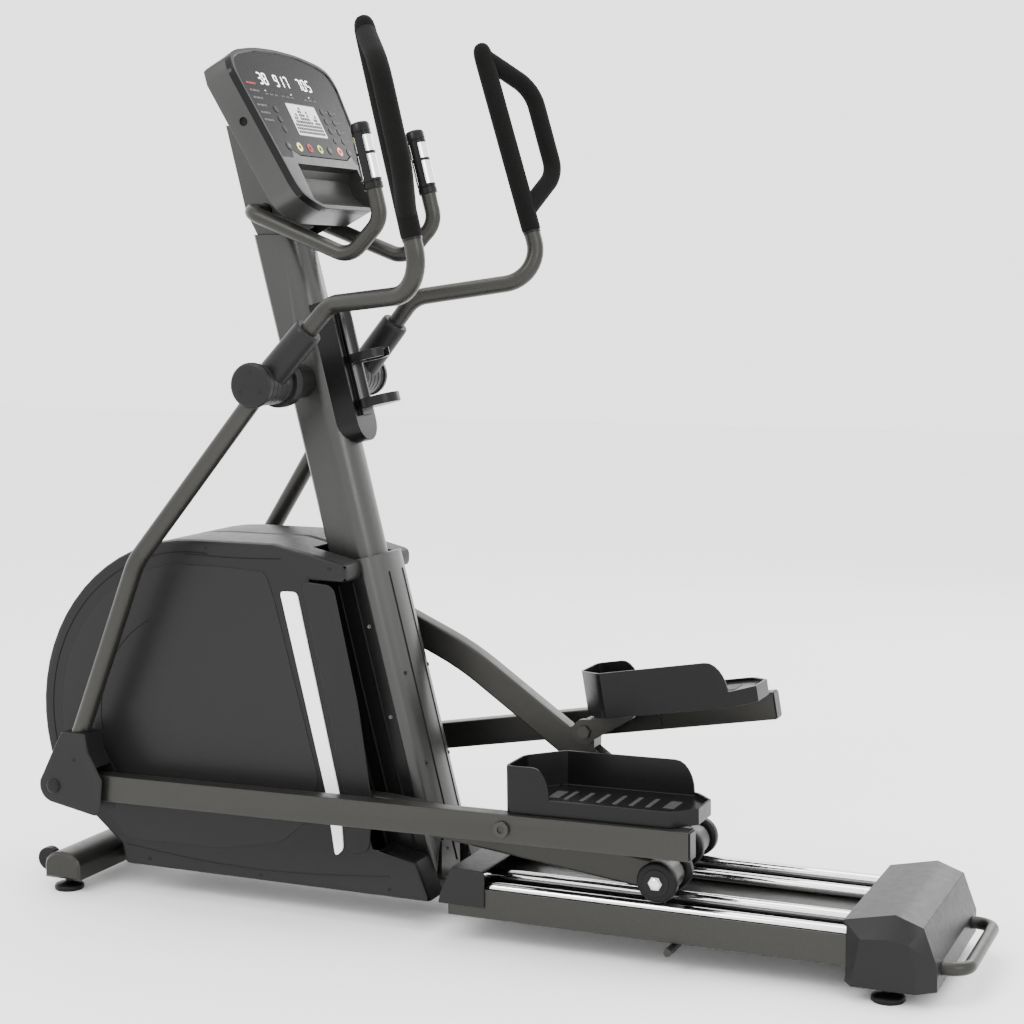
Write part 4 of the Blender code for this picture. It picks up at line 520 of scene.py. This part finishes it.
for side, word in SIDES.items():
    # raised main panel inside the rim band
    rim = 0.052
    panel = outline_nose(rim, 96, 196)[::-1]
    panel += [(-0.560, 0.7195), (-0.448, 0.7130), (-0.428, 0.660), (-0.330, 0.292),
              (-0.352, 0.205), (-0.420, 0.150), (-0.560, 0.122), (-0.800, 0.118)]
    raised_on_cover("main_panel_" + word, rounded(panel, 0.012, 3), side, 0.0016, PANEL, 0.0010)
    line_on_cover("rim_seam_" + word, outline_nose(0.026, 84, 202), side, 0.0018)
    line_on_cover("nose_line_" + word, outline_nose(0.150, 118, 190), side, 0.0014, 0.0022)
    top_line = [(-0.640 + 0.019 * i, 0.7420 - 0.0030 * math.sin(i / 12 * math.pi)) for i in range(13)]
    line_on_cover("top_line_" + word, top_line, side, 0.0016)
    # white slanted stripe and the ridge beside it
    stripe = rounded([(-0.413, 0.676), (-0.374, 0.676), (-0.2805, 0.262), (-0.2735, 0.150),
                      (-0.292, 0.134), (-0.3125, 0.268)], 0.010, 4)
    raised_on_cover("stripe_" + word, stripe, side, 0.0034, WHITE, 0.0010)
    ridge = rounded([(-0.362, 0.700), (-0.290, 0.694), (-0.236, 0.452), (-0.206, 0.250), (-0.214, 0.152),
                     (-0.262, 0.140), (-0.268, 0.262)], 0.018, 5)
    raised_on_cover("ridge_" + word, ridge, side, 0.0042, COVER, 0.0026)
    lip = [(-0.800 + 0.030 * i, 0.104 - 0.020 * math.sin(i / 21 * math.pi)) for i in range(22)]
    line_on_cover("lower_lip_" + word, lip, side, 0.0026, 0.0018, COVER)
    y = side * (COVER_Y + 0.0002)
    for k, (x, z) in enumerate(((-0.742, 0.078), (-0.470, 0.074), (-0.170, 0.078), (-0.590, 0.756),
                                (-0.300, 0.728))):
        put(screw("cover_screw_%s_%d" % (word, k), x, y, z, side), BLACK, "base", angle=40)
    # dark grooved panel on the column's side, seen through the link's slot
    corners = []
    for across, height in ((-0.104, 0.150), (-0.018, 0.130), (-0.018, 0.745), (-0.104, 0.735)):
        corners.append(mast_point(across, height))
    put(plate_y("column_side_" + word, corners, *lane(side, 0.0832, 0.0850)), BLACK, "base", bevel=0.0006)
    for k, across in enumerate((-0.078, -0.044)):
        run = []
        for height in (0.165, 0.725):
            x, z = mast_point(across, height)
            run.append((x, side * 0.0850, z))
        put(sweep("side_groove_%s_%d" % (word, k), run, 0.0026, 12), SEAM, "base")
    for k, height in enumerate((0.250, 0.440, 0.630)):
        x, z = mast_point(-0.030, height)
        put(screw("side_screw_%s_%d" % (word, k), x, side * 0.0850, z, side), IRON, "base", angle=40)


# column cover: two grooves and screw pairs on its rear face
for k, y in enumerate((-0.030, 0.030)):
    points = []
    for height in (0.120, 0.730):
        x, z = mast_point(0.0150, height)
        points.append((x, y, z))
    put(sweep("column_groove_%d" % k, points, 0.0022, 12), SEAM, "base")
for k, height in enumerate((0.150, 0.330, 0.520)):
    for y in (-0.052, 0.052):
        x, z = mast_point(0.0105, height)
        profile = [(0.0042, 0.0), (0.0042, 0.0010), (0.0034, 0.0014), (0.0018, 0.0006), (0.0, 0.0005)]
        head = turned("column_screw_%d_%s" % (k, "l" if y < 0 else "r"), profile, (0, 0, 0), 'X', 20)
        put(head, BLACK, "base", Matrix.Translation((x, y, z)) @ Matrix.Rotation(-MAST_LEAN, 4, 'Y'))


# ---------------------------------------------------------------- swing arms
KNEE_TOP = (KNEE[0] + 0.030, KNEE[1] + 0.060)
LOWER_TUBE_RADIUS = 0.019
# the tube enters the knee casing 5 mm outside the pedal arm's middle
LOWER_TUBE_Y = ARM_Y + 0.005


def hub_route(side):
    hub = Vector((0, side * HUB_Y, 0))
    bend = Vector((-0.290, side * 0.235, -0.368))
    end = Vector((KNEE_TOP[0], side * LOWER_TUBE_Y, KNEE_TOP[1]))
    return hub + (bend - hub).normalized() * 0.028, bend, end


SOCKET_ANGLE = math.radians(46.7)
SOCKET_DIR = Vector((math.cos(SOCKET_ANGLE), 0, math.sin(SOCKET_ANGLE)))
GRIP_LOW_X, GRIP_LOW_Z, GRIP_TOP_Z, GRIP_LEAN = 0.408, 0.182, 0.692, 0.233


def grip_point(side, z, share=0.0):
    low = Vector((GRIP_LOW_X, side * (GRIP_Y - 0.010), GRIP_LOW_Z))
    high = Vector((GRIP_LOW_X - (GRIP_TOP_Z - GRIP_LOW_Z) * GRIP_LEAN, side * GRIP_Y, GRIP_TOP_Z))
    t = (z - GRIP_LOW_Z) / (GRIP_TOP_Z - GRIP_LOW_Z)
    return low.lerp(high, t) + Vector((0.055 * share, side * 0.090 * share, 0))


for side, word in SIDES.items():
    body = "swing_arm_" + word
    hub_y = side * HUB_Y
    low_start = SOCKET_DIR * 0.062 + Vector((0, hub_y, 0))
    low_bend = SOCKET_DIR * 0.2186 + Vector((0, hub_y, 0))
    corner = Vector((GRIP_LOW_X, side * (GRIP_Y - 0.010), GRIP_LOW_Z))
    route = fillet([low_start, low_bend, corner, grip_point(side, GRIP_TOP_Z - 0.030)], [0.060, 0.075], 12)
    put(sweep("handle_bar_" + word, route, 0.018), COAT, body, SWING[side], ("handle_tube_" + word,),
        angle=60)

    # foam: straight bar with a pointed round top, and the loop
    stations = [(0.2820, 0.0170), (0.2835, 0.0188), (0.2870, 0.0200), (0.2920, 0.0205), (0.655, 0.0205),
                (0.668, 0.0200), (0.678, 0.0182), (0.6850, 0.0150), (0.6895, 0.0105), (0.6915, 0.0055)]
    bar = sweep("foam_bar_" + word, [grip_point(side, z) for z, r in stations],
                [r for z, r in stations], 32)
    loop = fillet([grip_point(side, 0.662), grip_point(side, 0.592, 1.0), grip_point(side, 0.407, 0.98),
                   grip_point(side, 0.327)], [0.080, 0.060], 14)
    bow = sweep("foam_loop_" + word, loop, 0.0194, 28)
    foam = merged("foam_" + word, [bar, bow])
    put(foam, FOAM, body, SWING[side], ("grip_" + word,), angle=60)
    collar_at = grip_point(side, 0.2790)
    collar_to = grip_point(side, 0.2835)
    put(sweep("grip_collar_" + word, [collar_at, collar_to], 0.0192, 32), BLACK, body, SWING[side])

    start, bend, end = hub_route(side)
    put(sweep("lower_tube_" + word, fillet([start, bend, end], [0.160], 16), LOWER_TUBE_RADIUS), COAT, body,
        SWING[side], ("lower_arm_" + word,), angle=60)

    # hub barrel with ribs, its socket and cap
    y_in, y_out = lane(side, 0.155, 0.245)
    barrel = [(0.0130, y_in), (0.0400, y_in), (0.0420, y_in + side * 0.002)]
    for k in range(5):
        at = y_in + side * (0.012 + 0.0165 * k)
        barrel += [(0.0420, at), (0.0406, at + side * 0.0012), (0.0406, at + side * 0.0030),
                   (0.0420, at + side * 0.0042)]
    barrel += [(0.0420, y_out - side * 0.002), (0.0400, y_out), (0.0130, y_out)]
    hub = turned("hub_barrel_" + word, barrel, (0, 0, 0), sides=64)
    base = Vector((0, hub_y, 0))
    along_socket = [base + SOCKET_DIR * d for d in (0.0, 0.030, 0.140, 0.1475, 0.150)]
    socket = sweep("hub_socket_" + word, along_socket, [0.0315, 0.0312, 0.0300, 0.0290, 0.0265], 40)
    put(merged("hub_" + word, [hub, socket]), COVER, body, SWING[side], ("swing_hub_" + word,), angle=40)
    cap_y = side * 0.2453
    cap = [(0.0040, cap_y), (0.0440, cap_y), (0.0455, cap_y + side * 0.0010),
           (0.0455, cap_y + side * 0.0080), (0.0447, cap_y + side * 0.0108),
           (0.0420, cap_y + side * 0.0131), (0.0395, cap_y + side * 0.0138),
           (0.0040, cap_y + side * 0.0140)]
    put(turned("hub_lid_" + word, cap, (0, 0, 0), sides=64), COVER, body, SWING[side],
        ("hub_cap_" + word,), angle=50)
    for k in range(3):
        turn = math.radians(90 + 120 * k)
        head = screw("hub_screw_%s_%d" % (word, k), 0.026 * math.cos(turn), cap_y + side * 0.0138,
                     0.026 * math.sin(turn), side, 0.0035)
        put(head, BLACK, body, SWING[side], angle=40)
    # pin cap and small screw on the knee casing
    face = side * (CASING_OUT + 0.0025)
    disc = [(0.0155, face), (0.0155, face + side * 0.0008), (0.0143, face + side * 0.0018),
            (0.0090, face + side * 0.0024), (0.0, face + side * 0.0025)]
    put(turned("knee_cap_" + word, disc, (KNEE[0], 0, KNEE[1]), sides=40), BLACK, body, SWING[side],
        angle=50)
    put(screw("casing_screw_" + word, KNEE[0] + 0.052, side * (CASING_OUT + 0.0001), KNEE[1] + 0.060, side,
              0.0035), BLACK, body, SWING[side], angle=40)

# sleeve through the mast, flared towards the hubs and ribbed near them
profile = []
for y in (-0.154, -0.150, -0.146, -0.142, -0.138, -0.134, -0.130, -0.124):
    profile.append((0.0500 if round(abs(y) * 1000) % 8 == 6 else 0.0488, y))
flare = [(0.0128, -0.154)] + profile + [(0.0340, -0.080)]
flare += [(r, -y) for r, y in flare[::-1]]
put(turned("axle_sleeve", flare, (SWING_X, 0, SWING_Z), sides=64), COVER, "base",
    replaces=("axle_housing",), angle=30)


# ---------------------------------------------------------------- pedals
for side, word in SIDES.items():
    body = "pedal_arm_" + word
    tread_z = 0.0288 + 0.0245
    for k in range(8):
        wide = k in (0, 7)
        x0 = 0.070 + 0.0335 * k
        length = 0.022 if wide else 0.009
        near, far = (0.112, 0.166) if wide else (0.106, 0.172)
        pad = plate_z("tread_pad_%s_%d" % (word, k),
                      rounded([(x0, side * near), (x0 + length, side * near),
                               (x0 + length, side * far), (x0, side * far)], 0.002),
                      tread_z - 0.0003, tread_z + 0.0012)
        put(pad, PAD, body, ARM[side], bevel=0.0004, segments=2)
    for k, (x, y) in enumerate(((0.014, 0.200), (0.060, 0.064), (0.362, 0.150))):
        profile = [(0.0045, tread_z), (0.0045, tread_z + 0.0012), (0.0036, tread_z + 0.0018),
                   (0.0019, tread_z + 0.0008), (0.0, tread_z + 0.0007)]
        put(turned("pedal_screw_%s_%d" % (word, k), profile, (x, side * y, 0), 'Z', 20), BLACK, body,
            ARM[side])
    outer = side * (ARM_Y + 0.019)
    bolt = [(0.0158, outer + side * 0.0051), (0.0150, outer + side * 0.0068),
            (0.0070, outer + side * 0.0076), (0.0066, outer + side * 0.0052), (0.0, outer + side * 0.0051)]
    put(turned("pivot_head_" + word, bolt, (0, 0, 0), sides=40), COAT, body, ARM[side])
    end_outline = [(0.3772, -0.0260), (0.3800, -0.0260), (0.3800, 0.0260), (0.3772, 0.0260)]
    end = plate_y("arm_plug_" + word, rounded(end_outline, 0.001),
                  *lane(side, ARM_Y - 0.0165, ARM_Y + 0.0165))
    put(end, BLACK, body, ARM[side], bevel=0.0012)


# ---------------------------------------------------------------- pulse bar
PULSE_HALF = 0.124
low_corner, foot_corner = Vector((-0.258, PULSE_HALF, 1.352)), Vector((-0.188, PULSE_HALF, 1.425))
pulse_tip = Vector((-0.233, PULSE_HALF, 1.605))
half = [Vector((-0.500, 0.110, 1.447)), low_corner, foot_corner, pulse_tip]
whole = [Vector((p.x, -p.y, p.z)) for p in half[::-1]] + half
put(sweep("pulse_bar", fillet(whole, [0.045, 0.045, 0.035, 0.035, 0.045, 0.045], 10), 0.016), COAT, "base",
    replaces=("pulse_handlebar",), angle=60)
along = (pulse_tip - foot_corner).normalized()
for side, word in SIDES.items():
    tip = Vector((pulse_tip.x, side * PULSE_HALF, pulse_tip.z))
    low = tip - along * 0.125
    stations = [(0.0, 0.0180), (0.0015, 0.0195), (0.0120, 0.0195), (0.0128, 0.0183), (0.0148, 0.0183),
                (0.0156, 0.0195), (0.1120, 0.0195), (0.1128, 0.0186), (0.1145, 0.0186), (0.1153, 0.0195),
                (0.1290, 0.0192), (0.1328, 0.0170), (0.1345, 0.0130), (0.1350, 0.0080)]
    put(sweep("sleeve_" + word, [low + along * d for d, r in stations], [r for d, r in stations], 36),
        BLACK, "base", replaces=("pulse_grip_" + word,), angle=35)
    across = Vector((0, 1, 0))
    front = along.cross(across).normalized()
    for k, (d0, d1, sign) in enumerate(((0.020, 0.068, 1), (0.074, 0.106, 1), (0.020, 0.068, -1),
                                        (0.074, 0.106, -1))):
        bm = bmesh.new()
        inner_rows, outer_rows = [], []
        for d in (d0, d1):
            row_in, row_out = [], []
            for i in range(13):
                t = math.radians(-62 + 124 * i / 12)
                way = front * math.cos(t) * sign + across * math.sin(t)
                row_in.append(bm.verts.new(low + along * d + way * 0.0190))
                row_out.append(bm.verts.new(low + along * d + way * 0.0204))
            inner_rows.append(row_in)
            outer_rows.append(row_out)
        for i in range(12):
            bm.faces.new((inner_rows[0][i], inner_rows[0][i + 1], inner_rows[1][i + 1], inner_rows[1][i]))
            bm.faces.new((outer_rows[0][i], outer_rows[1][i], outer_rows[1][i + 1], outer_rows[0][i + 1]))
            for row in (0, 1):
                bm.faces.new((inner_rows[row][i], inner_rows[row][i + 1], outer_rows[row][i + 1],
                              outer_rows[row][i]))
        for i in (0, 12):
            bm.faces.new((inner_rows[0][i], inner_rows[1][i], outer_rows[1][i], outer_rows[0][i]))
        put(solid("sensor_%s_%d" % (word, k), bm), CHROME, "base", bevel=0.0004, segments=2)


# ---------------------------------------------------------------- console print
def face_plate(name, y0, y1, up0, up1, material, high=0.0004, radius=0.0, base=-0.0005):
    """Thin print on the console's face, in its own (y, up) plane."""
    outline = [(y0, up0), (y1, up0), (y1, up1), (y0, up1)]
    if radius:
        outline = rounded(outline, radius, 4)
    return face_shape(name, outline, material, high, base)


def face_shape(name, outline, material, high=0.0004, base=-0.0005):
    bm = bmesh.new()
    rings = []
    for out in (base - 0.0003, base + high):
        ring = []
        for y, up in outline:
            x, z = console_point(up, out)
            ring.append((x, y, z))
        rings.append(ring)
    extrude(bm, *rings)
    return put(solid(name, bm), material, "base")


SEGMENTS = {"0": "abcdef", "1": "bc", "2": "abged", "3": "abgcd", "4": "fgbc", "5": "afgcd", "6": "afgedc",
            "7": "abc", "8": "abcdefg", "9": "abcdfg"}


def digit_parts(name, value, y, up, width, height):
    """Seven-segment digit; the rider sees +Y on the right of the face."""
    t = height * 0.105
    half = height / 2
    bars = {"a": (y + t, y + width - t, up + height - t, up + height),
            "d": (y + t, y + width - t, up, up + t),
            "g": (y + t, y + width - t, up + half - t / 2, up + half + t / 2),
            "f": (y, y + t, up + half + t / 3, up + height - t / 2),
            "e": (y, y + t, up + t / 2, up + half - t / 3),
            "b": (y + width - t, y + width, up + half + t / 3, up + height - t / 2),
            "c": (y + width - t, y + width, up + t / 2, up + half - t / 3)}
    return [face_plate("%s_%s" % (name, bar), *bars[bar], LIT) for bar in SEGMENTS[value]]


def lettering(name, y, up, widths, material, height=0.0032, gap=0.0018):
    """A run of short bars that stands in for a word."""
    for k, width in enumerate(widths):
        face_plate("%s_%d" % (name, k), y, y + width, up, up + height, material)
        y += width + gap


row_up = 0.262
for group, (value, y) in enumerate((("38", -0.128), ("917", -0.062), ("705", 0.032))):
    for k, digit in enumerate(value):
        digit_parts("digit_%d_%d" % (group, k), digit, y + 0.0205 * k, row_up, 0.0150, 0.0270)
    for k in range(3):
        face_plate("lamp_%d_%d" % (group, k), y + 0.006 + 0.019 * k, y + 0.0085 + 0.019 * k, row_up - 0.016,
                   row_up - 0.0135, LIT if (group + k) % 3 == 0 else DIM, radius=0.0011)
        lettering("word_%d_%d" % (group, k), y + 0.001 + 0.019 * k, row_up - 0.024, (0.006, 0.004), PRINT)
for k in range(6):
    material = RED if k == 0 else PRINT
    lettering("left_word_%d" % k, -0.186 + 0.0012 * k, 0.258 - 0.0165 * k, (0.010, 0.016, 0.007),
              material, 0.0042)

face_plate("window_frame", -0.062, 0.062, 0.150, 0.226, PRINT, 0.0002, 0.004)
face_plate("window", -0.060, 0.060, 0.152, 0.224, SCREEN, 0.0004, 0.003)
for column, bars in enumerate((3, 5, 6, 4, 7, 8, 6, 5, 7, 4, 3, 5, 6, 4)):
    for bar in range(8):
        y = -0.0555 + 0.0080 * column
        up = 0.1565 + 0.0080 * bar
        face_plate("bar_%d_%d" % (column, bar), y, y + 0.0062, up, up + 0.0060,
                   DIM if bar < bars else SCREEN, 0.0007)
for row in range(4):
    for column in range(2):
        y, up = 0.090 + 0.036 * column, 0.216 - 0.0225 * row
        outline = [(y + a, up + b) for a, b in circle(0.0078, 28)]
        face_shape("key_%d_%d" % (row, column), outline, DIM, 0.0009)
        lettering("key_word_%d_%d" % (row, column), y + 0.011, up - 0.0015, (0.005, 0.004), PRINT, 0.0028)
for row in range(3):
    y, up = -0.112, 0.206 - 0.0225 * row
    outline = [(y + a, up + b) for a, b in circle(0.0078, 28)]
    face_shape("left_key_%d" % row, outline, DIM, 0.0009)
for k, material in enumerate((DIM, YELLOW, RED, LIME, DIM, ORANGE, DIM)):
    y, up = -0.129 + 0.0430 * k, 0.122
    outline = [(y + a, up + b) for a, b in circle(0.0098, 32)]
    face_shape("icon_%d" % k, outline, material, 0.0009)
    mark = [(y + a, up + b) for a, b in circle(0.0044, 20)]
    face_shape("icon_mark_%d" % k, mark, PRINT if material is DIM else GLOSS, 0.0012)

# dark bezel round the console's front edge and the side holes
LOW_HALF, TOP_HALF, FACE_TOP = 0.175, 0.215, 0.338


def console_rim(inset):
    low_half, top_half, top = LOW_HALF - inset, TOP_HALF - inset, FACE_TOP - inset
    right = [(0.100, -0.018 + inset), (low_half - 0.040, -0.006 + inset), (low_half - 0.008, 0.012 + inset),
             (low_half + 0.004, 0.035 + inset), (top_half, top - 0.050), (top_half - 0.012, top - 0.018),
             (top_half - 0.045, top - 0.004), (0.090, top + 0.010), (0.0, top + 0.014)]
    left = [(-y, up) for y, up in right[:-1]][::-1]
    return right + left


def ring_plate(name, outer, inner, out0, out1, material, bevel):
    bm = bmesh.new()
    stacks = []
    for outline, out in ((outer, out0), (outer, out1), (inner, out1), (inner, out0)):
        ring = []
        for y, up in outline:
            x, z = console_point(up, out)
            ring.append(bm.verts.new((x, y, z)))
        stacks.append(ring)
    for low, high in zip(stacks, stacks[1:] + stacks[:1]):
        for k in range(len(low)):
            m = (k + 1) % len(low)
            bm.faces.new((low[k], low[m], high[m], high[k]))
    return put(solid(name, bm), material, "base", bevel=bevel)


ring_plate("bezel", rounded(console_rim(-0.0010), 0.030, 6), rounded(console_rim(0.0070), 0.026, 6),
           -0.0140, 0.0016, BLACK, 0.0016)
for side, word in SIDES.items():
    x, z = console_point(0.190, -0.035)
    y0, y1 = lane(side, 0.150, 0.1985)
    put(sweep("side_port_" + word, [(x, y0, z), (x, y1, z)], 0.0086, 24), SEAM, "base")


# ---------------------------------------------------------------- stage, light and camera
def area(name, place, target, power, size, size_y=None):
    lamp = bpy.data.lights.new(name, 'AREA')
    lamp.energy = power
    lamp.shape = 'RECTANGLE'
    lamp.size = size
    lamp.size_y = size_y or size
    made = bpy.data.objects.new(name, lamp)
    bpy.context.scene.collection.objects.link(made)
    made.location = place
    made.rotation_euler = (Vector(target) - Vector(place)).to_track_quat('-Z', 'Y').to_euler()


world = bpy.data.worlds.new("studio")
world.use_nodes = True
world.node_tree.nodes["Background"].inputs["Color"].default_value = (1.0, 1.0, 1.0, 1.0)
world.node_tree.nodes["Background"].inputs["Strength"].default_value = 2.6
bpy.context.scene.world = world
area("key", (-1.6, -3.4, 3.8), (0, 0, 0.8), 90, 1.6)
area("fill", (3.6, -2.2, 2.6), (0, 0, 0.8), 50, 1.6)
area("top", (0.0, 0.4, 4.4), (0, 0, 0.6), 80, 2.4)
area("rim", (1.0, 4.2, 2.6), (0, 0, 1.0), 60, 2.0)

floor_mesh = bmesh.new()
bmesh.ops.create_grid(floor_mesh, x_segments=1, y_segments=1, size=14)
floor = solid("floor", floor_mesh)
paper = Nodes("paper_floor")
paper_tone = paper.mix(paper.ramp(paper.noise(2.0), 0.3, 0.7, 0.0, 1.0),
                       (0.93, 0.93, 0.93), (0.955, 0.955, 0.955))
paper.link(paper_tone, paper.shader.inputs["Base Color"])
paper.shader.inputs["Roughness"].default_value = 0.75
floor.data.materials.append(paper.material)

lens = bpy.data.cameras.new("camera")
lens.lens = 71.4
lens.sensor_width = 36.0
lens.clip_end = 60.0
camera = bpy.data.objects.new("camera", lens)
bpy.context.scene.collection.objects.link(camera)
azimuth, pitch, roll = math.radians(23.17), math.radians(6.455), math.radians(-0.125)
back = Vector((math.sin(azimuth) * math.cos(pitch), -math.cos(azimuth) * math.cos(pitch), math.sin(pitch)))
flat = Vector((math.cos(azimuth), math.sin(azimuth), 0))
upright = back.cross(flat)
right = flat * math.cos(roll) + upright * math.sin(roll)
above = upright * math.cos(roll) - flat * math.sin(roll)
turn = Matrix((right, above, back)).transposed().to_4x4()
eye = (1.6362, -3.7349, 1.3014)
camera.matrix_world = Matrix.Translation(eye) @ turn
bpy.context.scene.camera = camera
